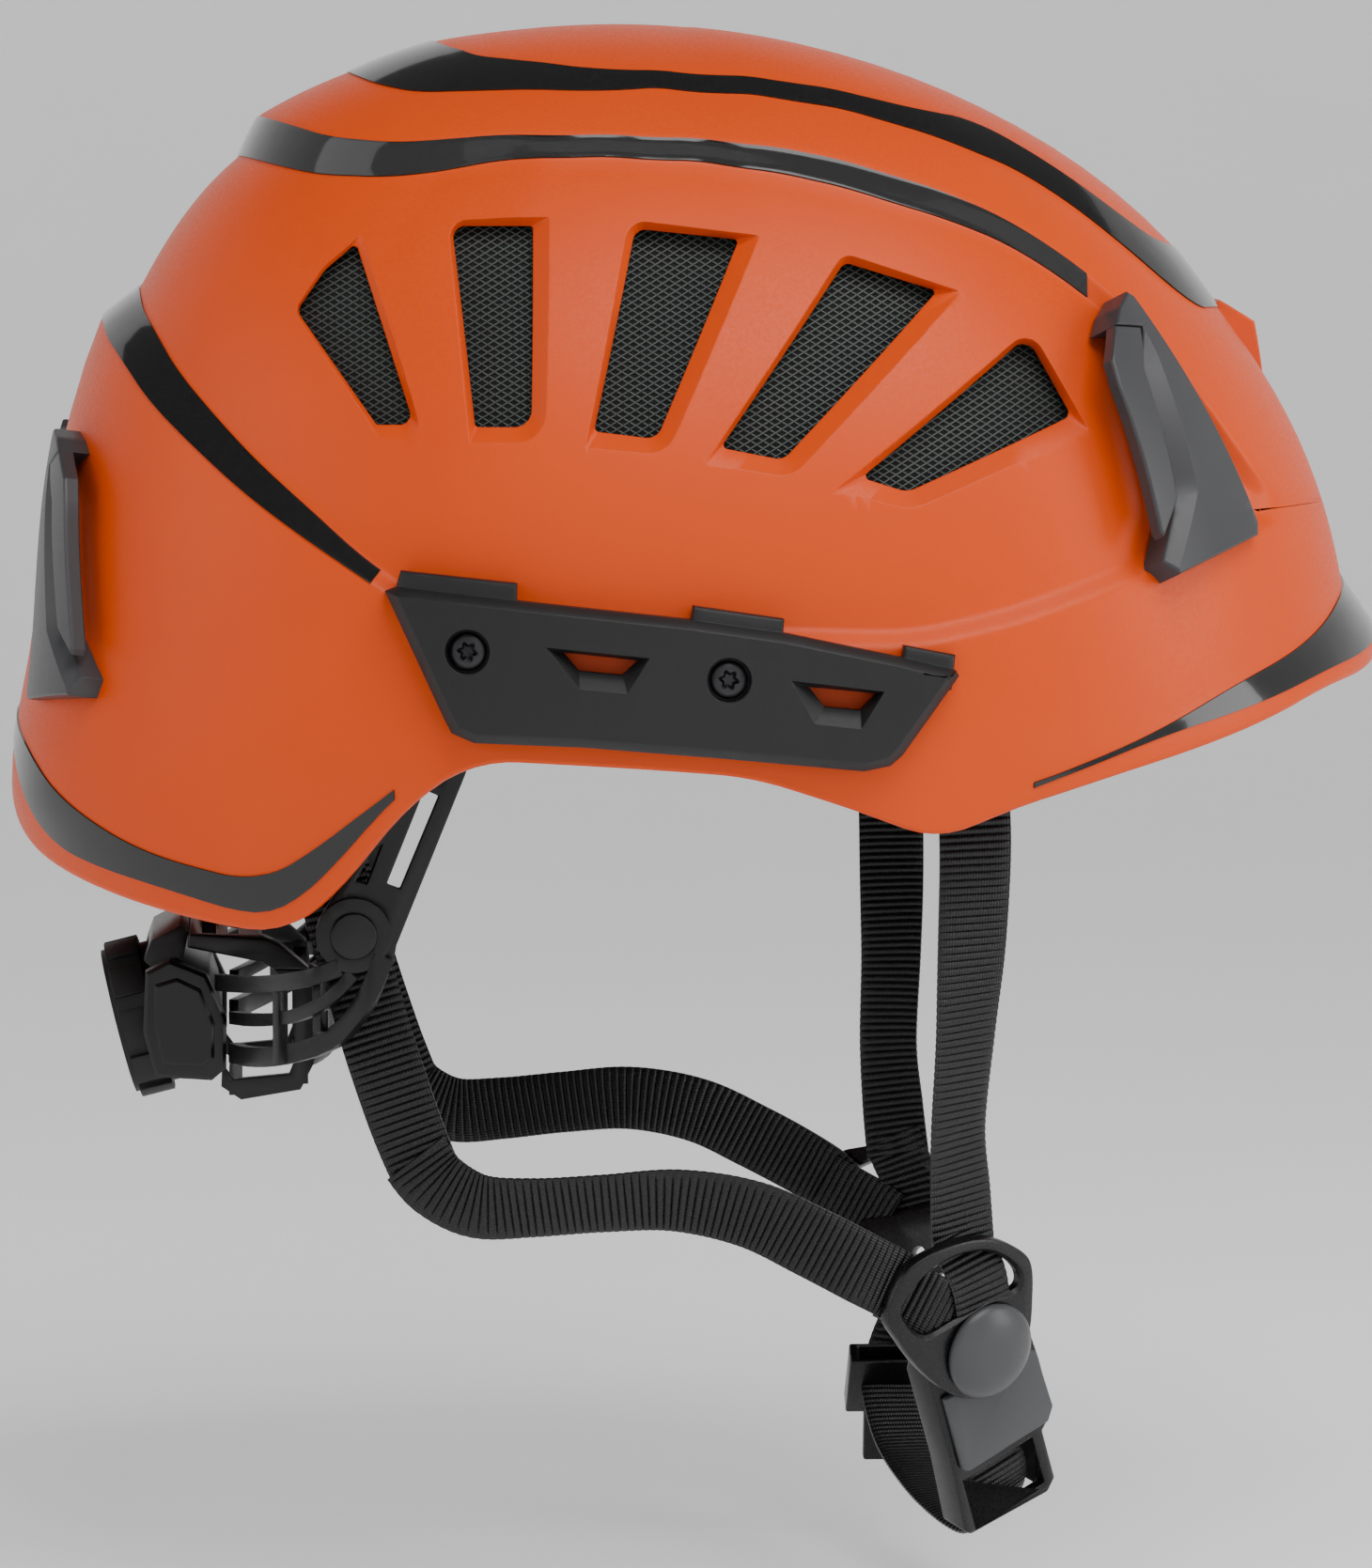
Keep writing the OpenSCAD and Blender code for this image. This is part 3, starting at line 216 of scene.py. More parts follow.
STRIPE_HIGH = [(0, 5), (16, 3), (27, -0.5), (37, -3.5), (48, -8.5), (58, -12.6), (67, -15.5),
               (75, -13), (87, -9.5), (115, -7), (123, -12.8), (132, -18.5), (137, -20.4),
               (148, -17.2), (161, -11.7), (166, -9.3), (175, -7.4), (180, -6.5)]
LEDGE = [(0, 10), (30, 9.8), (45, 7), (60, 2.5), (70, 0.5), (118, 2), (126, 7), (131, 9.8),
         (146, 17.9), (160, 24.3), (172, 27.5), (180, 28)]
LEDGE_RUN = [(0, 1), (30, 1.6), (70, 1.8), (118, 2), (126, 1.2), (134, 2.4), (150, 3.3), (180, 4)]
CROWN_EDGE = [(0, 12.2), (30, 13.3), (33, 21.5), (36, 30), (38.5, 34.5), (46, 43.6), (54, 48.9),
              (67, 54.4), (77, 57), (92, 58.9), (108, 58.1), (125, 55), (139, 50.4), (149, 49),
              (180, 49.8)]
CROWN_RUN = [(0, 1), (30, 1.4), (38, 1.8), (55, 2.4), (67, 2.2), (89, 1.6), (109, 1.5),
             (125, 1.7), (140, 2.6), (157, 3.4), (180, 3.6)]
LOOP_OUT = [(0, 30.6), (24, 31), (28, 36), (35, 49), (46, 56.1), (60, 62.1), (78, 65.9),
            (101, 67), (127, 62.4), (145, 57.4), (154, 57.1), (180, 58.6)]
LOOP_RUN = [(0, 7), (18, 7), (25, 9), (30, 13), (36, 8), (46, 4), (60, 2.8), (77, 2.4),
            (101, 2.3), (124, 4), (137, 6), (150, 8), (180, 8)]


def spline(a, b, c, d, t):
    """A smooth curve from b to c, with a before and d beyond."""
    return 0.5 * (2 * b + (c - a) * t + (2 * a - 5 * b + 4 * c - d) * t ** 2
                  + (3 * b - a - 3 * c + d) * t ** 3)


def reach(values, beyond, el):
    """Distance from the centre at an elevation, from a table with a row every 15 degrees."""
    ends = np.array([2 * values[0] - values[1]] + values + [beyond], float)
    x = (el + 30) / 15
    i = np.clip(np.floor(x).astype(int), 0, len(values) - 2)
    return spline(ends[i], ends[i + 1], ends[i + 2], ends[i + 3], x - i)


def radius(az, el):
    """Distance of the base surface from its centre in a direction."""
    c, s = np.abs(np.cos(np.radians(az))), np.abs(np.sin(np.radians(az)))
    ahead = np.cos(np.radians(az)) >= 0
    rx = np.where(ahead, reach(FRONT, REAR[-2], el), reach(REAR, FRONT[-2], el))
    ry = reach(SIDE, SIDE[-2], el)
    n = 2 + 0.35 * np.cos(np.radians(el)) ** 2
    return ((c / rx) ** n + (s / ry) ** n) ** (-1 / n)


def point(az, el, off=0):
    """A point of the base surface in millimetres, moved out by the given amount."""
    az, el = np.broadcast_arrays(np.asarray(az, float), np.asarray(el, float))
    r = radius(az, el) + off
    a, e = np.radians(az), np.radians(el)
    return np.stack([r * np.cos(e) * np.cos(a), r * np.cos(e) * np.sin(a),
                     r * np.sin(e) + centre_z], -1)


def edge(table, az):
    """Elevation of a plate's edge in a direction, its corners eased over a few degrees."""
    total = 0
    for ease in (-3, -1.5, 0, 1.5, 3):
        turned = (np.asarray(az, float) + ease + 180) % 360 - 180
        total = total + np.interp(np.abs(turned), [t[0] for t in table], [t[1] for t in table])
    return total / 5


zone_depth, loop_rise, brim_flare, wall = 3, 1.2, 6, 3


def sink(az, el):
    """Depth below the plates: the vented zone lies between ledge and crown edge."""
    low, high = edge(LEDGE, az), edge(CROWN_EDGE, az)
    up = (el - low) / edge(LEDGE_RUN, az)
    down = (high - el) / edge(CROWN_RUN, az)
    depth = zone_depth * (1 + 0.5 * np.clip((np.abs(az) - 119) / 14, 0, 1))
    part = np.clip((high - low - 3) / 3, 0, 1)
    loop = (el - edge(LOOP_OUT, az)) / edge(LOOP_RUN, az)
    zone = depth * part * np.clip(np.minimum(up, down), 0, 1)
    return zone + loop_rise * (1 - np.clip(loop, 0, 1))


def flare(az, el):
    """How far the brim turns outwards at the front."""
    low, high = edge(STRIPE_LOW, az), edge(STRIPE_HIGH, az)
    t = np.clip((60 - np.abs(az)) / 60, 0, 1)
    return brim_flare * t * t * (3 - 2 * t) * np.clip((high - el) / (high - low), 0, 1)


def skin(az, el, off=0, soften=0.3):
    """A point of the moulded surface; its steps are rounded over the given angle."""
    rise = sum(flare(az, el + d) - sink(az, el + d) for d in (-soften, 0, soften)) / 3
    return point(az, el, off + rise)


def columns():
    """Directions round the shell, closer together where the crown plate's edge is steep."""
    fine = [side * a for a in np.arange(28, 40, 0.5) for side in (-1, 1)]
    return np.array(sorted(set(np.round(np.arange(-180, 180, 1.5), 2)) | set(fine)))


def stretch(low, high, count):
    """Rows between two edges, with one close beside each edge to hold its bend."""
    inner = [low + (high - low) * k / count for k in range(1, count)]
    near = np.minimum(0.35, (high - low) / 6)
    return [low, low + near] + inner + [high - near]


def elevations(az):
    """Rows from the rim to the crown, lying along every edge of the moulding."""
    d = edge(LEDGE, az)
    g = edge(CROWN_EDGE, az)
    f = g - edge(CROWN_RUN, az)
    e = np.minimum(d + edge(LEDGE_RUN, az), f - 0.3)
    h = edge(LOOP_OUT, az)
    i = h + edge(LOOP_RUN, az)
    marks = [edge(RIM, az), edge(STRIPE_LOW, az), edge(STRIPE_HIGH, az), d, e, f, g, h, i]
    counts = [2, 4, 8, 3, 22, 3, 8, 4]
    rows = []
    for k, count in enumerate(counts):
        rows += stretch(marks[k], marks[k + 1], count)
    rows += [i] + [i + (89.5 - i) * k / 14 for k in range(1, 15)]
    return rows


def dome(name, rings, top, inner):
    """A closed skin from a top point down its rings and back up inside to an inner point."""
    n = len(rings[0])
    last = 1 + len(rings) * n
    points = np.concatenate([[top]] + rings + [[inner]]) * MM
    faces = [(0, 1 + j, 1 + (j + 1) % n) for j in range(n)]
    faces += [(last, last - n + (j + 1) % n, last - n + j) for j in range(n)]
    faces += [(1 + i * n + j, 1 + (i + 1) * n + j, 1 + (i + 1) * n + (j + 1) % n,
               1 + i * n + (j + 1) % n) for i in range(len(rings) - 1) for j in range(n)]
    return new_object(name, points, faces)


AZ = columns()
ROWS = elevations(AZ)
outside = [skin(AZ, row) for row in reversed(ROWS)]
bead = [skin(AZ, ROWS[0] - 0.5 * math.sin(t), -wall * (1 - math.cos(t)) / 2)
        for t in np.radians((45, 90, 135))]
inside = [skin(AZ, row, -wall) for row in ROWS[:2] + ROWS[4::3] + [ROWS[-1]]]
shell = dome("outer_shell_skin", outside + bead + inside, skin(0, 90), skin(0, 90, -wall))

# Each vent is a scoop cut to a smaller opening: corner by corner, the opening, the scoop's
# outer edge, and the two fillet radii, all seen square on from the side.
VENTS = [
    [((-70.5, 100), (-68.2, 104.1), 0.8, 0.3), ((-59.7, 64.4), (-57.6, 61), 2, 5),
     ((-67, 64.3), (-66.6, 61), 0.8, 0.3), ((-82.4, 86.5), (-83.7, 86.7), 2, 3),
     ((-76.9, 94.5), (-77.9, 96), 8, 8)],
    [((-35.4, 103.4), (-32.3, 105.2), 0.6, 0.3), ((-36.8, 64), (-34.3, 61), 3.4, 6),
     ((-47.8, 64), (-49, 61.1), 0.8, 0.3), ((-51.5, 103.4), (-52.8, 105.1), 2.4, 4)],
    [((5.5, 100.7), (9.4, 101.5), 0.7, 0.3), ((-12.3, 61.7), (-10.7, 58.6), 3, 6),
     ((-24.6, 63.2), (-26.5, 60.1), 0.9, 0.3), ((-15.1, 102.9), (-16.5, 104.7), 2.6, 4)],
    [((45, 90.5), (49.5, 90.4), 0.7, 0.3), ((12.5, 57.6), (13.8, 54.2), 3, 6),
     ((0.2, 60), (-3, 57.1), 0.8, 0.3), ((26.4, 96.2), (26, 98.1), 2, 3.2)],
    [((71.4, 65.7), (74.5, 63), 1.5, 0.3), ((37, 51.2), (37.5, 47.8), 5, 8),
     ((27.9, 54.1), (22.3, 51.7), 0.8, 0.3), ((63, 81.5), (63.4, 83.2), 3, 4)]]


def rounded(corners, radii, arc=6, side=6):
    """An outline with filleted corners, and points along its straight sides."""
    n = len(corners)
    arcs = []
    for k in range(n):
        a, p, b = (np.array(corners[(k + s) % n], float) for s in (-1, 0, 1))
        u, v = (a - p) / np.linalg.norm(a - p), (b - p) / np.linalg.norm(b - p)
        half = math.acos(np.clip(u @ v, -1, 1)) / 2
        cut = min(radii[k] / math.tan(half), 0.45 * np.linalg.norm(a - p), 0.45 * np.linalg.norm(b - p))
        middle = p + (u + v) / np.linalg.norm(u + v) * cut / math.cos(half)
        start, finish = p + u * cut - middle, p + v * cut - middle
        t = np.linspace(0, 1, arc)[:, None]
        swing = start * (1 - t) + finish * t
        arcs.append(middle + swing / np.linalg.norm(swing, axis=1)[:, None] * np.linalg.norm(start))
    points = []
    for k in range(n):
        points += list(arcs[k])
        a, b = arcs[k][-1], arcs[(k + 1) % n][0]
        points += [a + (b - a) * j / side for j in range(1, side)]
    return np.array(points)


def side_depth(x, z, off):
    """How far out the base surface lies at a place seen square on from the side."""
    low, high = np.full(len(x), 20.0), np.full(len(x), 140.0)
    for _ in range(30):
        y = (low + high) / 2
        q = np.stack([x, y, z - centre_z], 1)
        r = np.linalg.norm(q, axis=1)
        out = r > radius(np.degrees(np.arctan2(y, x)), np.degrees(np.arcsin(q[:, 2] / r))) + off
        high, low = np.where(out, y, high), np.where(out, low, y)
    return (low + high) / 2


scoop_depth = 2.6
sunk = -zone_depth - loop_rise


def vent_cutter(vent, side):
    """A closed block that cuts one scooped vent on the given side."""
    hole = rounded([c[0] for c in vent], [c[2] for c in vent])
    rim = rounded([c[1] for c in vent], [c[3] for c in vent])
    hole_y = side_depth(hole[:, 0], hole[:, 1], sunk - scoop_depth)
    rim_y = side_depth(rim[:, 0], rim[:, 1], sunk)
    inner = np.stack([hole[:, 0], hole_y, hole[:, 1]], 1)
    outer = np.stack([rim[:, 0], rim_y, rim[:, 1]], 1)
    over = outer + (outer - inner) * 0.6
    rings = [over + [0, 9, 0], over, outer, inner, inner - [0, 30, 0]]
    n = len(hole)
    points = np.concatenate(rings) * MM * [1, side, 1]
    faces = tube_faces(len(rings), n)
    faces += [tuple(range(n))[::-1], tuple(range((len(rings) - 1) * n, len(rings) * n))]
    return new_object("vent_cutter", points, faces)


def face_outwards(obj):
    """Turns every face of a closed mesh to look outwards."""
    made = bmesh.new()
    made.from_mesh(obj.data)
    bmesh.ops.recalc_face_normals(made, faces=made.faces)
    made.to_mesh(obj.data)
    made.free()


def apply_modifiers(obj):
    """Replaces an object's mesh by what its modifiers make of it."""
    seen = bpy.context.evaluated_depsgraph_get()
    seen.update()
    mesh = bpy.data.meshes.new_from_object(obj.evaluated_get(seen))
    obj.modifiers.clear()
    obj.data = mesh


def cut(obj, cutters):
    """Cuts a closed mesh by others, which are then thrown away."""
    face_outwards(obj)
    for cutter in cutters:
        face_outwards(cutter)
        step = obj.modifiers.new("cut", "BOOLEAN")
        step.object = cutter
        step.operation = "DIFFERENCE"
        step.solver = "MANIFOLD"
    apply_modifiers(obj)
    for cutter in cutters:
        bpy.data.objects.remove(cutter)


cut(shell, [vent_cutter(vent, side) for vent in VENTS for side in (-1, 1)])


def moulded(name, dark, light, rough, grain, depth, round_edge, shine=0.35):
    """Moulded plastic: faint tint changes, a fine grain that breaks up the gloss, soft edges."""
    made, tree, shader = new_material(name)
    where = add(tree, "ShaderNodeTexCoord")
    cloud = add(tree, "ShaderNodeTexNoise", {"Vector": where.outputs["Object"], "Scale": 30, "Detail": 4})
    tint = add(tree, "ShaderNodeMix", {"Factor": cloud.outputs["Fac"], 6: colour(dark),
                                       7: colour(light)}, data_type="RGBA")
    spark = add(tree, "ShaderNodeTexNoise", {"Vector": where.outputs["Object"],
                                             "Scale": 1 / (grain * MM), "Detail": 2})
    gloss = add(tree, "ShaderNodeMapRange", {"Value": spark.outputs["Fac"], "From Min": 0.3,
                                             "From Max": 0.7, "To Min": rough[0], "To Max": rough[1]})
    edges = add(tree, "ShaderNodeBevel", {"Radius": round_edge * MM}, samples=6)
    relief = add(tree, "ShaderNodeBump", {"Height": spark.outputs["Fac"], "Strength": 0.5,
                                          "Distance": depth * MM, "Normal": edges.outputs["Normal"]})
    tree.links.new(tint.outputs[2], shader.inputs["Base Color"])
    tree.links.new(gloss.outputs["Result"], shader.inputs["Roughness"])
    tree.links.new(relief.outputs["Normal"], shader.inputs["Normal"])
    shader.inputs["IOR"].default_value = 1.5
    shader.inputs["Specular IOR Level"].default_value = shine
    return made


# Orange ABS, moulded in a spark-eroded tool: a fine even grain, semi-matt, colour all through.
shell_abs = moulded("orange_moulded_abs", "#CC4000", "#D44600", (0.34, 0.48), 0.7, 0.035, 0.5, 0.22)
shade(shell, shell_abs, 32)
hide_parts("outer_shell")
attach(shell, "helmet")

# ---------- foam liner ----------
# Black expanded foam moulded to the inside of the shell, with a pocket behind every vent. The beads of the
# foam show as a fine cobble, and the seams between them are painted darker as shade in the creases.
liner_foam, tree, shader = new_material("black_bead_foam")
where = add(tree, "ShaderNodeTexCoord")
beads = add(tree, "ShaderNodeTexVoronoi", {"Vector": where.outputs["Object"], "Scale": 380},
            feature="DISTANCE_TO_EDGE")
# The colour is darker in the seams between beads, where the bump sinks: painted shade in the creases.
tone = add(tree, "ShaderNodeMapRange", {"Value": beads.outputs["Distance"], "From Max": 0.2,
                                        "To Min": 0.008, "To Max": 0.016})
seams = add(tree, "ShaderNodeBump", {"Height": beads.outputs["Distance"], "Strength": 0.4,
                                     "Distance": 0.2 * MM})
tree.links.new(tone.outputs["Result"], shader.inputs["Base Color"])
tree.links.new(seams.outputs["Normal"], shader.inputs["Normal"])
shader.inputs["Roughness"].default_value = 0.75


def finish_node(node, material):
    """Gives a CAD node its real material, with smooth shading and hard edges over 30 degrees."""
    nodes[node].data.materials.clear()
    nodes[node].data.materials.append(material)
    nodes[node].data.shade_smooth()
    nodes[node].data.set_sharp_from_angle(angle=math.radians(30))


finish_node("foam_liner", liner_foam)

# ---------- vent netting ----------
# A sheet of painted wire netting with long diamond cells lies over the foam on each side and
# shows in all five vents. It keeps insects and twigs out.
cell_w, cell_h, wire = 2.5, 1.5, 0.24
net_back, net_front, net_middle, net_half = -86, 78, 77, 36
net_wire = moulded("dark_painted_netting", "#3A413E", "#48504C", (0.35, 0.5), 0.4, 0.01, 0.05)
net_off = -zone_depth * 1.5 - loop_rise - wall - 0.2
points, faces = [], []
for lean in (-1, 1):
    for k in range(-70, 70):
        steps = np.arange(-net_half, net_half + 1, 2.0)
        x = k * cell_w + lean * steps * cell_w / cell_h
        z = net_middle + steps
        keep = (x > net_back) & (x < net_front)
        if keep.sum() < 2:
            continue
        x, z = x[keep], z[keep]
        y = side_depth(x, z, net_off + lean * 0.12)
        for start in range(len(x) - 1):
            base = len(points)
            for i in (start, start + 1):
                for da, db in ((-1, 0), (0, -1), (1, 0), (0, 1)):
                    points.append((x[i] - lean * db * wire * 0.4, y[i] + da * wire * 0.4,
                                   z[i] + db * wire * 0.5))
            faces += [(base + j, base + (j + 1) % 4, base + 4 + (j + 1) % 4, base + 4 + j)
                      for j in range(4)]
for side, end in ((-1, "right"), (1, "left")):
    net = new_object("netting_" + end, np.array(points) * MM * [1, side, 1], faces)
    shade(net, net_wire)
    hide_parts("vent_mesh_" + end)
    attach(net, "helmet")

# A near-black sheet behind the netting is painted shade: it stands for the dark inside of the vent pockets
# and keeps the inside dark.
painted_shade_material, tree, shader = new_material("painted_vent_shade")
where = add(tree, "ShaderNodeTexCoord")
threads = add(tree, "ShaderNodeTexVoronoi", {"Vector": where.outputs["Object"], "Scale": 1800})
tone = add(tree, "ShaderNodeMapRange", {"Value": threads.outputs["Distance"], "To Min": 0.002,
                                        "To Max": 0.006})
shade_sheet_relief = add(tree, "ShaderNodeBump", {"Height": threads.outputs["Distance"], "Strength": 0.5,
                                     "Distance": 0.1 * MM})
tree.links.new(tone.outputs["Result"], shader.inputs["Base Color"])
tree.links.new(shade_sheet_relief.outputs["Normal"], shader.inputs["Normal"])
shader.inputs["Roughness"].default_value = 0.9
along, upright = 42, 18
x, z = [g.ravel() for g in np.meshgrid(np.linspace(net_back, net_front, along),
                                       np.linspace(45, 110, upright), indexing="ij")]
grid = np.stack([x, side_depth(x, z, net_off - 0.55), z], 1)
back = np.stack([x, side_depth(x, z, net_off - 0.75), z], 1)
faces = [(a, a + 1, a + upright + 1, a + upright) for i in range(along - 1)
         for a in range(i * upright, (i + 1) * upright - 1)]
faces += [tuple(len(grid) + k for k in f[::-1]) for f in faces]
# Each side gets its near-black sheet of painted shade behind the netting.
for side, end in ((-1, "right"), (1, "left")):
    shade_sheet = new_object("painted_shade_sheet_" + end, np.concatenate([grid, back]) * MM * [1, side, 1], faces)
    shade(shade_sheet, painted_shade_material)
    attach(shade_sheet, "helmet")

# ---------- gloss films ----------
# Black reflective film, self-adhesive and cut to shape, stuck on the sloping steps of the
# shell. It is far glossier than the moulding round it and shows crisp reflections.
film_black, tree, shader = new_material("gloss_black_film")
where = add(tree, "ShaderNodeTexCoord")
peel = add(tree, "ShaderNodeTexNoise", {"Vector": where.outputs["Object"], "Scale": 160, "Detail": 1})
prisms = add(tree, "ShaderNodeTexVoronoi", {"Vector": where.outputs["Object"], "Scale": 1400})
tone = add(tree, "ShaderNodeMapRange", {"Value": prisms.outputs["Distance"], "To Min": 0.006,
                                        "To Max": 0.012})
swell = add(tree, "ShaderNodeBump", {"Height": peel.outputs["Fac"], "Strength": 0.25,
                                     "Distance": 0.12 * MM})
tree.links.new(tone.outputs["Result"], shader.inputs["Base Color"])
tree.links.new(swell.outputs["Normal"], shader.inputs["Normal"])
shader.inputs["Roughness"].default_value = 0.11
shader.inputs["Specular IOR Level"].default_value = 0.3
shader.inputs["Coat Weight"].default_value = 0.35
shader.inputs["Coat Roughness"].default_value = 0.03


def film_strip(name, start, finish, low, high):
    """A strip of film along a riser of the shell, between two edges given by direction."""
    az = np.arange(start, finish + 0.01, 0.75)
    az = (az + 180) % 360 - 180
    a, b = low(az), high(az)
    rings = [skin(az, a + (b - a) * t, off) for t, off in
             [(0, 0.02), (0, 0.28)] + [(k / 8, 0.34) for k in range(9)] + [(1, 0.28), (1, 0.02)]]
    count = len(az)
    grid = np.stack(rings, 1).reshape(-1, 3) * MM
    n = len(rings)
    sides = tube_faces(count, n)
    ends = [tuple(range(n)), tuple(range((count - 1) * n, count * n))[::-1]]
    made = new_object(name + "_strip", grid, sides + ends)
    face_outwards(made)
    shade(made, film_black, 50)
    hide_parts(name)
    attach(made, "helmet")


film_strip("crown_film", -179.9, 179.9, lambda a: edge(LOOP_OUT, a),
           lambda a: edge(LOOP_OUT, a) + edge(LOOP_RUN, a))
film_strip("crown_edge_film", 40, 320, lambda a: edge(CROWN_EDGE, a) - edge(CROWN_RUN, a),
           lambda a: edge(CROWN_EDGE, a))
film_strip("rear_band_film", 125, 235, lambda a: edge(LEDGE, a),
           lambda a: edge(LEDGE, a) + edge(LEDGE_RUN, a))
film_strip("rear_rim_film", 123, 237, lambda a: edge(STRIPE_LOW, a), lambda a: edge(STRIPE_HIGH, a))
film_strip("brim_film", -58, 58, lambda a: edge(STRIPE_LOW, a), lambda a: edge(STRIPE_HIGH, a))

# ---------- accessory rails ----------
# A bar of glass-filled nylon along each side, moulded with a chamfered face, two hooking
# windows and three raised stops on its top edge. Two machine screws hold it.
rail_nylon = moulded("charcoal_glass_filled_nylon", "#141415", "#1A1A1B", (0.38, 0.55), 0.35, 0.03, 0.25)


def local_frame(az, el):
    """Place, sideways, upwards and outwards directions on the base surface."""
    n = np.cross(point(az + 1, el) - point(az - 1, el), point(az, el + 1) - point(az, el - 1))
    n /= np.linalg.norm(n)
    u = np.cross([0, 0, 1], n)
    u /= np.linalg.norm(u)
    return point(az, el), u, np.cross(n, u), n


def drape(az, el, turn, flat):
    """Lays flat points (sideways, up, height) on the base surface, turned about its normal."""
    place, u, v, n = local_frame(az, el)
    c, s = math.cos(math.radians(turn)), math.sin(math.radians(turn))
    x, y = flat[:, 0] * c - flat[:, 1] * s, flat[:, 0] * s + flat[:, 1] * c
    over = place + np.outer(x, u) + np.outer(y, v)
    low, high = np.full(len(x), -60.0), np.full(len(x), 30.0)
    for _ in range(26):
        t = (low + high) / 2
        q = over + np.outer(t, n) - [0, 0, centre_z]
        r = np.linalg.norm(q, axis=1)
        out = r > radius(np.degrees(np.arctan2(q[:, 1], q[:, 0])), np.degrees(np.arcsin(q[:, 2] / r)))
        high, low = np.where(out, t, high), np.where(out, low, t)
    return over + np.outer(t + flat[:, 2], n)


def inset(outline, distance):
    """An anticlockwise outline moved inwards."""
    p = np.array(outline, float)
    run = np.roll(p, -1, 0) - p
    run /= np.linalg.norm(run, axis=1)[:, None]
    inwards = np.stack([-run[:, 1], run[:, 0]], 1)
    before = np.roll(inwards, 1, 0)
    return p + distance * (before + inwards) / (1 + (before * inwards).sum(1))[:, None]


def loft(name, levels):
    """A closed flat piece through outlines of the same number of corners, each at a height."""
    n = len(levels[0][1])
    points = [(x, y, height) for height, outline in levels for x, y in outline]
    faces = tube_faces(len(levels), n)
    faces += [tuple(range(n))[::-1], tuple(range((len(levels) - 1) * n, len(levels) * n))]
    return new_object(name, points, faces)


def prism(name, outline, levels):
    """A closed flat piece: its outline, moved inwards by the given amount at each height."""
    p = np.array(outline, float)
    turned = np.roll(p, -1, 0)
    if (p[:, 0] * turned[:, 1] - p[:, 1] * turned[:, 0]).sum() < 0:
        p = p[::-1]
    return loft(name, [(height, inset(p, distance)) for height, distance in levels])


def circle(place, r, count=40):
    """An outline round a place."""
    return [(place[0] + r * math.cos(2 * math.pi * k / count),
             place[1] + r * math.sin(2 * math.pi * k / count)) for k in range(count)]


def joined(name, pieces):
    """Several pieces made one."""
    with bpy.context.temp_override(active_object=pieces[0], selected_editable_objects=pieces):
        bpy.ops.object.join()
    pieces[0].name = name
    return pieces[0]


def lay(obj, az, el, turn, side, height=lambda p: p[:, 2], folds=(), step=4):
    """Bends a flat piece over the shell: it is cut into a fine grid, and along its folds."""
    made = bmesh.new()
    made.from_mesh(obj.data)
    low = [min(v.co[k] for v in made.verts) for k in (0, 1)]
    high = [max(v.co[k] for v in made.verts) for k in (0, 1)]
    planes = [(Vector(a), Vector((b[1] - a[1], a[0] - b[0], 0))) for a, b in folds]
    for k in (0, 1):
        planes += [(Vector([t if k == i else 0 for i in (0, 1, 2)]), Vector([k == i for i in (0, 1, 2)]))
                   for t in np.arange(low[k] + step / 2, high[k], step)]
    for place, normal in planes:
        bmesh.ops.bisect_plane(made, geom=made.verts[:] + made.edges[:] + made.faces[:],
                               dist=1e-5, plane_co=place, plane_no=normal)
    made.to_mesh(obj.data)
    made.free()
    flat = np.array([v.co for v in obj.data.vertices])
    flat[:, 2] = height(flat)
    laid = drape(az, el, turn, flat) * MM
    laid[:, 1] *= -side
    obj.data.vertices.foreach_set("co", laid.ravel())
    face_outwards(obj)


RAIL = [(-54.6, 7), (-52.4, 8.2), (-28, 9.3), (5, 10.9), (24, 11.1), (46, 10), (57.8, 9), (58.6, 8),
        (50, -9), (48, -11.4), (43, -13.2), (15, -14.9), (-12, -16.9), (-33, -19.4), (-37.6, -18.2),
        (-39.5, -15.6)]
TABS = [[(-53, 5), (-28.4, 5), (-29.4, 12.6), (-52.2, 11.4)], [(5, 5), (23.5, 5), (22.9, 13.8), (5, 13.6)],
        [(47, 5), (57.6, 5), (57.3, 11.9), (47, 12.3)]]
WINDOWS = [([(-22.2, 1.3), (-1.9, 2.4), (-5.1, -5.1), (-14.4, -5.7)],
            [(-18.6, 0.8), (-3.9, 1.5), (-6.5, -1.8), (-15, -2.3)]),
           ([(25.8, 2.3), (44.3, 2.9), (41, -5), (31.8, -5.4)],
            [(29.7, 1.5), (43.1, 2.2), (40.4, -1.5), (33.3, -1.9)])]
SCREWS = [(-37, -2), (14, 0.5)]
RAIL_SEAT = (-97, -1.5, -9)  # azimuth, elevation and turn
rail_top = 6
for side, end in ((1, "right"), (-1, "left")):
    rail = prism("accessory_rail_" + end, RAIL,
                 [(-3.4, 0), (rail_top - 2.4, 0), (rail_top - 2.1, 0.15), (rail_top - 0.3, 1.5),
                  (rail_top, 1.9)])
    cutters = [loft("window", [(-6, inner), (rail_top - 3, inner), (rail_top + 0.01, outer), (9, outer)])
               for outer, inner in WINDOWS]
    cutters += [prism("screw_seat", circle(p, 4.5), [(rail_top - 3.6, 0.3), (rail_top - 0.5, 0.3),
                                                     (rail_top + 0.1, 0), (9, 0)]) for p in SCREWS]
    cut(rail, cutters)
    tabs = [prism("tab", tab, [(-3.4, 0), (2.8, 0), (3.3, 0.25), (3.5, 0.7)]) for tab in TABS]
    rail = joined("accessory_rail_" + end, [rail] + tabs)
    lay(rail, *RAIL_SEAT, side)
    shade(rail, rail_nylon, 25)
    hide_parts("side_rail_" + end)
    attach(rail, "helmet")

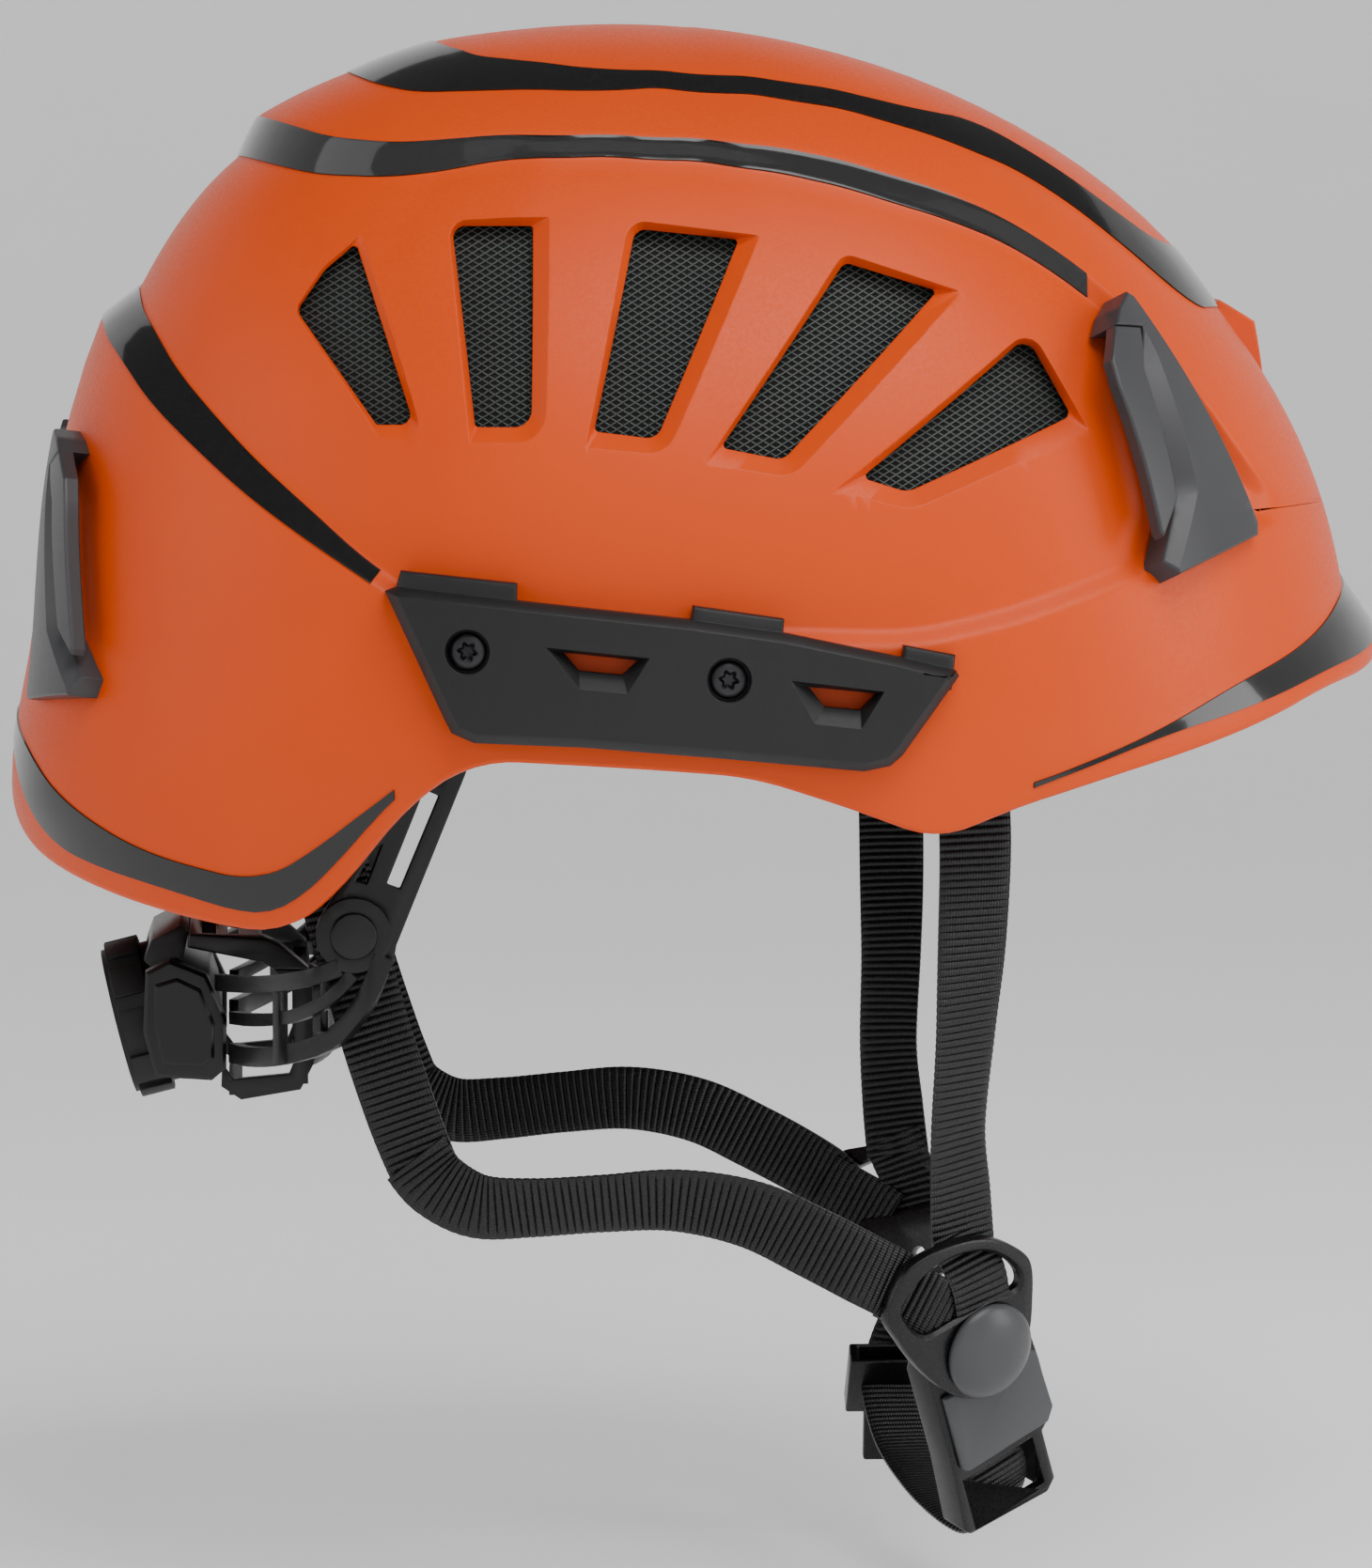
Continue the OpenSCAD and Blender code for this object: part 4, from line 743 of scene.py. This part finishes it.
# Pan-head machine screws with a six-lobed socket, blackened steel.
screw_steel, tree, shader = new_material("blackened_steel")
where = add(tree, "ShaderNodeTexCoord")
wear = add(tree, "ShaderNodeTexNoise", {"Vector": where.outputs["Object"], "Scale": 900, "Detail": 3})
gloss = add(tree, "ShaderNodeMapRange", {"Value": wear.outputs["Fac"], "To Min": 0.2, "To Max": 0.45})
tree.links.new(gloss.outputs["Result"], shader.inputs["Roughness"])
shader.inputs["Base Color"].default_value = colour("#3A3A3C")
shader.inputs["Metallic"].default_value = 0.9
screws = []
for side in (1, -1):
    for place in SCREWS:
        screw = prism("rail_screw", circle(place, 3.7), [(-6, 1.7), (1.6, 1.7), (1.7, 0), (3.6, 0),
                                                         (4.3, 0.25), (4.7, 0.9)])
        lobes = [(place[0] + (1.75 + 0.35 * math.cos(6 * t)) * math.cos(t),
                  place[1] + (1.75 + 0.35 * math.cos(6 * t)) * math.sin(t))
                 for t in np.linspace(0, 2 * math.pi, 49)[:-1]]
        cut(screw, [prism("socket", lobes, [(2.6, 0.5), (3, 0), (6, 0)])])
        lay(screw, *RAIL_SEAT, side, step=30)
        screws.append(screw)
screws = joined("rail_screw_set", screws)
shade(screws, screw_steel, 35)
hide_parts("rail_screws")
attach(screws, "helmet")

# ---------- lamp clips ----------
# Four clips hold the strap of a head lamp. Each is a nylon wing with a sprung tongue that
# stands over its long edge with a slit between them.
WING = [(0.4, 35.6), (2.2, 34.6), (22.2, -13.5), (21.4, -16), (-5.4, -24.6), (-8.2, -21.5),
        (-2.4, -9.6), (-2.9, 17.5), (-1.2, 22), (0.5, 27.4), (-7.5, 27.4), (-4.5, 31.5)]
TONGUE = [(-7.8, 27.3), (-0.1, 27.3), (-1.9, 22), (-3.7, 17.5), (-3.4, -9.6), (-8.6, -17.2),
          (-9.6, -16.2), (-12.6, 14), (-12.4, 19.5)]
CREST = [(0.5, 27.4, 0), (1.8, 21.2, 0), (3.1, -7.7, 0), (-7, -26, 0)]
clip_nylon = moulded("charcoal_clip_nylon", "#333335", "#3C3C3E", (0.3, 0.42), 0.3, 0.02, 0.3)
for end, az, el, turn, flip in (("front", -42, 17, 0, 1), ("rear", -160, 4, 22.5, -1)):

    def top(p):
        """The clip's face falls from its long edge to the far corner."""
        return 7 - (p[:, 0] * flip + 16) / 42 * 6.2

    def wing_height(p):
        crest = np.interp(p[:, 1], [c[1] for c in CREST[::-1]], [c[0] for c in CREST[::-1]])
        fall = 0.62 * np.maximum(crest - p[:, 0] * flip, 0) * (p[:, 1] < 27)
        return -3 + (p[:, 2] + 3) / 9 * (top(p) + 3 - fall * (p[:, 2] > 0))

    def tongue_height(p):
        return top(p) + (p[:, 2] - 3.4)

    def both(outline):
        return [(x * flip, y) for x, y in outline]

    for side, hand in ((1, "right"), (-1, "left")):
        wing = prism(f"clip_wing_{end}_{hand}", both(WING), [(-3, 0), (5.2, 0), (5.75, 0.15), (6, 0.45)])
        tongue = prism(f"clip_tongue_{end}_{hand}", both(TONGUE),
                       [(0, 0.4), (0.3, 0.05), (2.8, 0.05), (3.2, 0.2), (3.4, 0.5)])
        folds = [(both([a[:2]])[0] + (0,), both([b[:2]])[0] + (0,)) for a, b in zip(CREST, CREST[1:])]
        lay(wing, az, el, turn, side, wing_height, folds, 3)
        lay(tongue, az, el, turn, side, tongue_height, (), 3)
        for piece, node, body in ((wing, f"{end}_clip_{hand}", "helmet"),
                                  (tongue, f"{end}_tongue_{hand}", f"{end}_{hand}_tongue")):
            shade(piece, clip_nylon, 20)
            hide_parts(node)
            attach(piece, body)

# ---------- pocket on the brow ----------
# A shallow socket moulded on the middle of the brow, ahead of the crown film. A visor or badge
# clips into it; it is of the shell's own plastic.
pocket = prism("brow_pocket", [(-9, -14), (9, -14), (15, -3), (16, 1), (14.5, 5), (-14.5, 5), (-16, 1),
                               (-15, -3)], [(-3, 0), (2.6, 0), (3, 0.35)])
cut(pocket, [prism("pocket_hole", [(-12.5, -0.8), (12.5, -0.8), (12, 3.2), (-12, 3.2)],
                   [(0.5, 0.3), (2.5, 0.1), (4, 0)])])


def shoulder(p):
    """The socket stands out over a level shoulder and runs down into the brow."""
    rise = np.interp(p[:, 1], [-14, -3, 5], [-1.1, 3.4, 0.2])
    return -3 + (p[:, 2] + 3) / 6 * (rise + 3)


lay(pocket, 0, 29.3, 0, 1, shoulder, [((-20, -3, 0), (20, -3, 0))], 2)
shade(pocket, shell_abs, 30)
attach(pocket, "helmet")

# ---------- headband ----------
# A soft nylon strip round the head. Hard moulded edges are rounded by their own small radius.
nape_nylon = moulded("black_satin_nylon", "#080809", "#0E0E0F", (0.28, 0.42), 0.5, 0.015, 0.25)


def soften(node, material, material_slot, width):
    """Stands in for a hard CAD piece: the same form with its edges rounded by a real bevel."""
    obj = bpy.data.objects.new(node + "_rounded", nodes[node].data.copy())
    bpy.context.scene.collection.objects.link(obj)
    made = bmesh.new()
    made.from_mesh(obj.data)
    bmesh.ops.remove_doubles(made, verts=made.verts, dist=1e-5)
    bmesh.ops.dissolve_limit(made, angle_limit=math.radians(1), verts=made.verts, edges=made.edges)
    made.to_mesh(obj.data)
    made.free()
    round_edges = obj.modifiers.new("round", "BEVEL")
    round_edges.width = width * MM
    round_edges.segments = 2
    round_edges.angle_limit = math.radians(32)
    apply_modifiers(obj)
    shade(obj, material, 38)
    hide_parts(node)
    return obj


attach(soften("headband", nape_nylon, "buckle_black", 0.5), "helmet")
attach(soften("cradle_clips", nape_nylon, "buckle_black", 0.5), "helmet")

# ---------- cradle webbing and chin harness webbing ----------
# Black polyester webbing, woven with a heavy weft, so strong ribs cross it every millimetre and a half. Fine
# warp threads run over the ribs; their crests are painted lighter, a painted glint on top of the real gloss.
web_black, tree, shader = new_material("black_ribbed_webbing")
where = add(tree, "ShaderNodeTexCoord")
warp = add(tree, "ShaderNodeTexWave", {"Vector": where.outputs["UV"], "Scale": 0.55, "Distortion": 0.6,
                                       "Detail": 1}, bands_direction="Y")
fuzz = add(tree, "ShaderNodeTexNoise", {"Vector": where.outputs["UV"], "Scale": 5, "Detail": 5})
both_heights = add(tree, "ShaderNodeMix", {"Factor": 0.3, 2: warp.outputs["Fac"],
                                           3: fuzz.outputs["Fac"]})
# The base colour is lighter on the crests of the warp threads: a painted glint.
tone = add(tree, "ShaderNodeMix", {"Factor": warp.outputs["Fac"], 6: colour("#060607"),
                                   7: colour("#141416")}, data_type="RGBA")
threads = add(tree, "ShaderNodeBump", {"Height": both_heights.outputs[0], "Strength": 0.8,
                                       "Distance": 0.12 * MM})
tree.links.new(tone.outputs[2], shader.inputs["Base Color"])
tree.links.new(threads.outputs["Normal"], shader.inputs["Normal"])
shader.inputs["Roughness"].default_value = 0.36
shader.inputs["Specular IOR Level"].default_value = 0.35


def ribbon(name, route, width, thick, outward, side=1, rib=1.55, start=0):
    """Ribbed webbing along a smoothed route of (x, y, z, turn about its own run)."""
    p = np.array(route, float)
    p = np.concatenate([p[:1], p, p[-1:]])
    t = np.linspace(0, 1, 40, endpoint=False)[:, None]
    path = np.concatenate([spline(p[i - 1], p[i], p[i + 1], p[i + 2], t) for i in range(1, len(p) - 2)]
                          + [p[-1:]])
    run = np.concatenate([[0], np.cumsum(np.linalg.norm(np.diff(path[:, :3], axis=0), axis=1))])
    s = np.arange(start, run[-1], rib / 6)
    path = np.stack([np.interp(s, run, path[:, k]) for k in range(4)], 1)
    place, turn = path[:, :3], np.radians(path[:, 3:])
    along = np.gradient(place, axis=0)
    along /= np.linalg.norm(along, axis=1)[:, None]
    across = np.cross(along, np.broadcast_to(outward, along.shape))
    across /= np.linalg.norm(across, axis=1)[:, None]
    out = np.cross(across, along)
    w = across * np.cos(turn) + out * np.sin(turn)
    n = np.cross(w, along)
    ridge = (0.48 * (np.abs(np.sin(np.pi * s / rib)) ** 0.7 - 0.6))[:, None]
    columns_across = np.array([-0.97, -0.88, -0.7, -0.4, 0, 0.4, 0.7, 0.88, 0.97])
    rings, uv = [], []
    for face in (1, -1):
        for c in columns_across * face:
            body = (1 - abs(c) ** 6) ** 0.5
            rings.append(place + w * c * width / 2 + n * face * (thick / 2 + ridge) * body)
            uv.append(np.stack([s, np.full(len(s), c * width / 2)], 1))
    k = len(rings)
    points = np.stack(rings, 1).reshape(-1, 3) * MM * [1, side, 1]
    faces = tube_faces(len(s), k)
    faces += [tuple(range(k)), tuple(range((len(s) - 1) * k, len(s) * k))[::-1]]
    made = new_object(name, points, faces, np.stack(uv, 1).reshape(-1, 2))
    face_outwards(made)
    shade(made, web_black, 60)
    return made


BAND = (100, 78)  # half length and half width of the headband, whose middle lies 2 ahead
band_ahead = 2


def band_point(t, out, z):
    """A place on the headband in a direction, moved out by the given amount."""
    return np.array([(BAND[0] + out) * math.cos(math.radians(t)) + band_ahead,
                     (BAND[1] + out) * math.sin(math.radians(t)), z])


hoops = []
for level, az in enumerate((32, 90, -32)):
    a, b = band_point(az, 1.7, 14), band_point(az + 180, 1.7, 14)
    route = []
    for k in range(17):
        turn = math.pi * k / 16
        p = (a + b) / 2 + (a - b) / 2 * math.cos(turn)
        p[2] += (104 - p[2]) * math.sin(turn) ** 0.8 + level * 1.5
        route.append([*p, 0])
    hoop = ribbon("cradle_hoop", route, 14, 0.9, (0, 0, 1), rib=1.4)
    hoops.append(hoop)
cradle = joined("cradle_hoops", hoops)
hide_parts("cradle_straps")
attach(cradle, "helmet")

FRONT = [[48.6, -77.6, 14, 0], [50.8, -82.4, -3, 0], [52, -83.8, -18, 4], [52, -79.5, -39, 14],
         [51.4, -74, -59, 30], [50.4, -70, -79, 36], [51.2, -67.4, -93, 28], [52.1, -64.4, -104, 24]]
BACK = [[-83, -64, 6, 0], [-80, -63.5, -12, 0], [-75, -64, -32, 0], [-70.5, -64.5, -48, 0],
        [-66.5, -65, -62, 0], [-61.5, -66, -77, -8], [-57.5, -67, -87, -16]]
LOWER = [[-59.5, -67.6, -84, -8], [-55, -68.6, -89.5, -14], [-47, -70.6, -93.5, -20],
         [-36, -73, -93.6, -28], [-22, -75, -92.6, -30], [-7, -76, -92, -24], [8, -76.3, -95, -14],
         [21, -76.2, -101.2, -4], [31, -75.4, -106.6, 6], [36.5, -72.6, -109.8, 12],
         [40, -69.6, -112.6, 14]]
CHIN = [[58.8, 55.6, -133, 26], [54.5, 55, -138, 18], [51, 51, -146, 8], [49.3, 45, -152.5, 2],
        [50.5, 28, -161.5, 0], [54, 4, -166.5, 0], [58.5, -18, -167.5, -14], [62, -31, -166, -30],
        [62.6, -37.5, -160.5, -40], [61, -43, -154, -42]]
for side, end in ((1, "right"), (-1, "left")):
    for name, route in (("front_strap_", FRONT), ("rear_strap_", BACK), ("lower_strap_", LOWER)):
        strap = ribbon(name + end + "_web", route, 15, 1.1, (0, -1, 0), side)
        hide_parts(name + end)
        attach(strap, "helmet")
chin = ribbon("chin_strap_web", CHIN, 15, 1.1, (0, 0, -1))
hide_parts("chin_strap")
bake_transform(chin)
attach(soften("strap_anchors", nape_nylon, "screw_black", 0.4), "helmet")

# ---------- pads ----------
# Brushed knit over foam: a forehead pad, a round crown pad and a nape pad. Each is full, with
# rounded rims and a light quilting where the cover is welded down.
pad_knit, tree, shader = new_material("charcoal_brushed_knit")
where = add(tree, "ShaderNodeTexCoord")
stitches = add(tree, "ShaderNodeTexVoronoi", {"Vector": where.outputs["Object"], "Scale": 900})
nap = add(tree, "ShaderNodeTexNoise", {"Vector": where.outputs["Object"], "Scale": 2500, "Detail": 3})
tone = add(tree, "ShaderNodeMix", {"Factor": nap.outputs["Fac"], 6: colour("#1B1B1D"),
                                   7: colour("#2C2C2F")}, data_type="RGBA")
knit = add(tree, "ShaderNodeBump", {"Height": stitches.outputs["Distance"], "Strength": 0.6,
                                    "Distance": 0.25 * MM})
tree.links.new(tone.outputs[2], shader.inputs["Base Color"])
tree.links.new(knit.outputs["Normal"], shader.inputs["Normal"])
shader.inputs["Roughness"].default_value = 0.9
shader.inputs["Sheen Weight"].default_value = 0.35


def cushion(name, node, body, place, thick, quilts):
    """A swollen pad over a mid-surface place(u, v) with u and v from -1 to 1."""
    u, v = np.meshgrid(np.linspace(-1, 1, 81), np.linspace(-1, 1, 33), indexing="ij")
    u, v = np.sin(u * math.pi / 2), np.sin(v * math.pi / 2)
    middle, normal = place(u, v)
    swell = ((1 - u ** 8) * (1 - v ** 6)) ** 0.5 * (1 - 0.22 * np.abs(np.cos(u * math.pi * quilts)) ** 14)
    over = middle + normal * (thick / 2 * swell)[..., None]
    under = middle - normal * (thick / 2 * swell)[..., None]
    count, rows_across = u.shape
    points = np.concatenate([over.reshape(-1, 3), under.reshape(-1, 3)]) * MM
    half = count * rows_across
    faces = []
    for i in range(count - 1):
        for j in range(rows_across - 1):
            a = i * rows_across + j
            faces.append((a, a + 1, a + rows_across + 1, a + rows_across))
            faces.append((half + a, half + a + rows_across, half + a + rows_across + 1, half + a + 1))
    made = new_object(name, points, faces)
    clean = bmesh.new()
    clean.from_mesh(made.data)
    bmesh.ops.remove_doubles(clean, verts=clean.verts, dist=2e-5)
    clean.to_mesh(made.data)
    clean.free()
    face_outwards(made)
    shade(made, pad_knit, 70)
    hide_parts(node)
    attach(made, body)


def forehead(u, v):
    """Against the inside of the headband."""
    t = np.radians(56 * u)
    out = np.stack([np.cos(t) / BAND[0], np.sin(t) / BAND[1], 0 * t], -1)
    out /= np.linalg.norm(out, axis=-1)[..., None]
    middle = np.stack([95.15 * np.cos(t) + band_ahead, 73.15 * np.sin(t), 11.5 + 12.3 * v], -1)
    return middle, out


def crown(u, v):
    """A disc laid out on a square, a little domed."""
    r = 29.5
    x = r * u * np.sqrt(1 - v * v / 2)
    y = r * v * np.sqrt(1 - u * u / 2)
    return (np.stack([x, y, 98.9 - (x * x + y * y) / 900], -1),
            np.broadcast_to(np.array([0, 0, 1.0]), x.shape + (3,)))


def nape(u, v):
    """A strip bent round the nape."""
    bend = 70.9
    t = 26.2 * u / bend
    out = np.stack([np.cos(t), np.sin(t), 0 * t], -1)
    return out * bend + np.stack([0 * t - 147.6, 0 * t, -62.8 + 8.3 * v], -1), out


cushion("forehead_cushion", "forehead_pad", "helmet", forehead, 6, 3)
cushion("crown_cushion", "crown_pad", "helmet", crown, 3.2, 1)
cushion("nape_cushion", "nape_pad", nodes["nape_pad"]["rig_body"], nape, 4.8, 2)

# ---------- yoke and nape adjuster ----------
# Slim black nylon arms hang from the headband and carry the adjuster on a stud at each side;
# bars run from the studs round the nape into the ratchet's housing.
for end, side in (("right", -1), ("left", 1)):
    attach(soften("yoke_arm_" + end, nape_nylon, "buckle_black", 0.35), "nape_yoke")
    bars = soften("nape_band_" + end, nape_nylon, "buckle_black", 0.3)
    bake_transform(bars)
for node, width in (("pivot_studs", 0.3), ("ratchet_housing", 0.5), ("nape_bracket", 0.4),
                    ("nape_frame", 0.5)):
    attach(soften(node, nape_nylon, "buckle_black", width), nodes[node]["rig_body"])

# Side covers close the housing where the bars run in, each with a raised facet.
COVER = [(-114, -49.5), (-109, -47), (-101.5, -50), (-97.4, -59), (-97.5, -69.5), (-100.5, -72),
         (-112, -71.2), (-114.5, -62)]
FACET = [(-112.2, -52), (-107.5, -50.6), (-102.6, -53), (-99.9, -60), (-100, -67.4), (-102.3, -69.2),
         (-110.6, -68.6), (-112.4, -61)]
for end, side in (("right", -1), ("left", 1)):
    cover = joined("ratchet_cover_" + end + "_faceted",
                   [prism("cover", COVER, [(31.6, 0.3), (32, 0), (36.6, 0), (37.2, 0.7), (37.4, 1.6)]),
                    prism("facet", FACET, [(37, 0), (37.6, 0.1), (38, 0.7)])])
    flat = np.array([v.co for v in cover.data.vertices])
    cover.data.vertices.foreach_set("co", (flat[:, [0, 2, 1]] * [1, side, 1] * MM).ravel())
    face_outwards(cover)
    shade(cover, nape_nylon, 25)
    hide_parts("ratchet_cover_" + end)
    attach(cover, nodes["ratchet_cover_" + end]["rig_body"])

# The knob is nylon with a soft rubbery grip moulded over it.
knob_rubber = moulded("black_soft_touch_grip", "#0C0C0D", "#111112", (0.45, 0.62), 0.25, 0.02, 0.4)
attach(soften("adjustment_knob", knob_rubber, "knob_plastic", 0.6), "knob")
pinion_acetal = moulded("natural_acetal", "#D9D7CE", "#E4E2DA", (0.3, 0.4), 0.6, 0.01, 0.1)
finish_node("drive_pinion", pinion_acetal)

# ---------- dividers and buckle ----------
# Black acetal dividers hold the straps together at each ear. The buckle hangs from the round
# grey cap of the right one and slides off it; a thin grey panel faces its body.
buckle_acetal = moulded("black_satin_acetal", "#080809", "#0E0E10", (0.25, 0.36), 0.35, 0.012, 0.3)
cap_grey = moulded("dark_grey_satin_acetal", "#3D3E40", "#454648", (0.3, 0.4), 0.45, 0.02, 0.4)
face_n = np.array([0.503, -0.839, -0.208]) / np.linalg.norm([0.503, -0.839, -0.208])
face_v = np.array([-0.265, -0.379, 0.887])
face_v -= face_n * (face_v @ face_n)
face_v /= np.linalg.norm(face_v)
cap_frame = np.array([np.cross(face_v, face_n), face_v, face_n])


def at_cap(points):
    """Places given across, up and out from the middle of the cap, in the helmet's own frame."""
    return np.array(points, float) @ cap_frame + [57.6, -61, -125.8]


def seat_at_cap(obj):
    """Moves a piece built about the cap into place."""
    flat = np.array([v.co for v in obj.data.vertices])
    obj.data.vertices.foreach_set("co", (at_cap(flat) * MM).ravel())
    face_outwards(obj)


def closed_curve(corners, count=6):
    """A smooth closed outline through its corners."""
    p = np.array(corners, float)
    t = np.linspace(0, 1, count, endpoint=False)[:, None]
    return [tuple(q) for k in range(len(p)) for q in
            spline(p[k - 1], p[k], p[(k + 1) % len(p)], p[(k + 2) % len(p)], t)]


RING = [(-20.4, 20), (-15, 26.4), (-9.4, 28), (-1.5, 27), (5.7, 24.4), (10.7, 20.5), (14.7, 15.1),
        (15.3, 11), (13.6, 4.6), (11, -2), (6, -8.4), (-0.5, -10.6), (-7, -8.6), (-12, -3.4), (-16.2, 4.4),
        (-19, 12.4)]
RING_HOLE = [(-16.6, 18.7), (-13.5, 21.9), (-8.5, 23.9), (-1.8, 24), (5.2, 21.4), (9.7, 16.9),
             (11.9, 12.1), (10.4, 9), (3, 10.6), (-6, 10.4), (-13.4, 11.4)]
ring = prism("divider_ring", closed_curve(RING),
             [(-3.2, 0.6), (-2.8, 0.1), (-2.4, 0), (-0.7, 0), (-0.25, 0.2), (0, 0.7)])
hole = closed_curve(RING_HOLE)
cut(ring, [prism("ring_hole", hole, [(-6, -0.5), (-3.2, -0.5), (-2.6, 0), (-0.8, 0), (0, -0.8), (3, -0.8)])])
seat_at_cap(ring)
shade(ring, buckle_acetal, 30)
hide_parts("divider_right")
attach(ring, "helmet")

# The cap is turned to a low dome, with its rivet and the foot that the buckle slides over.
PROFILE = [(0, 4.5), (3, 4.38), (5.6, 3.95), (7.8, 3.2), (9.3, 2.3), (10.1, 1.5), (10.3, 0.9), (10.1, 0.3),
           (9.7, 0.05), (1.6, 0.05), (1.6, -6), (2.5, -6), (2.6, -6.2), (2.6, -8.4), (0, -8.5)]
around = 72
points = spun(PROFILE[1:-1], around) + [(0, 0, PROFILE[0][1]), (0, 0, PROFILE[-1][1])]
faces = tube_faces(len(PROFILE) - 2, around)
faces += [(k, (k + 1) % around, len(points) - 2) for k in range(around)]
faces += [(len(points) - 2 - around + k, len(points) - 2 - around + (k + 1) % around, len(points) - 1)
          for k in range(around)]
cap = new_object("divider_cap_dome", points, faces)
seat_at_cap(cap)
shade(cap, cap_grey, 40)
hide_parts("divider_cap")
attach(cap, nodes["divider_cap"]["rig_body"])

# Front and lower strap each run behind the ring, come up through it and end under the cap.
for side in (1, -1):
    tail = ribbon("front_strap_tail", [[*q, 0] for q in at_cap(
        [(3.4, 27, -4.6), (3.4, 22, -4.2), (3.2, 18, -2.4), (2.8, 14, -1.2), (2, 8.5, -0.9)])],
        14, 1.1, face_n, side)
    other = ribbon("lower_strap_tail", [[*q, 0] for q in at_cap(
        [(-15.5, 23, -5.4), (-13, 20, -5), (-10.5, 17, -3.6), (-8, 14, -2.5), (-4.5, 9.5, -2.2)])],
        14, 1.1, face_n, side)
    for piece in (tail, other):
        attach(piece, "helmet")

# The chin strap's end folds over the bar of the buckle's slot.
fold = ribbon("chin_strap_fold", [[*q, 0] for q in at_cap(
    [(-1.8, -43, -10.4), (-1.8, -39, -8), (-1.8, -34.5, -6.4), (-1.8, -31.4, -6.8), (-1.8, -30.7, -8.8),
     (-1.8, -32.5, -10.8), (-1.8, -38, -12)])], 15, 1.1, face_n)
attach(fold, "buckle")

for node, material, material_slot, width in (
        ("divider_left", buckle_acetal, "buckle_black", 0.7),
        ("buckle_housing", buckle_acetal, "buckle_black", 0.6),
        ("buckle_cover", cap_grey, "buckle_grey", 0.35),
        ("strap_adjuster", buckle_acetal, "adjuster_plastic", 0.6),
        ("strap_end_loop", buckle_acetal, "adjuster_plastic", 0.6)):
    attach(soften(node, material, material_slot, width), nodes[node]["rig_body"])
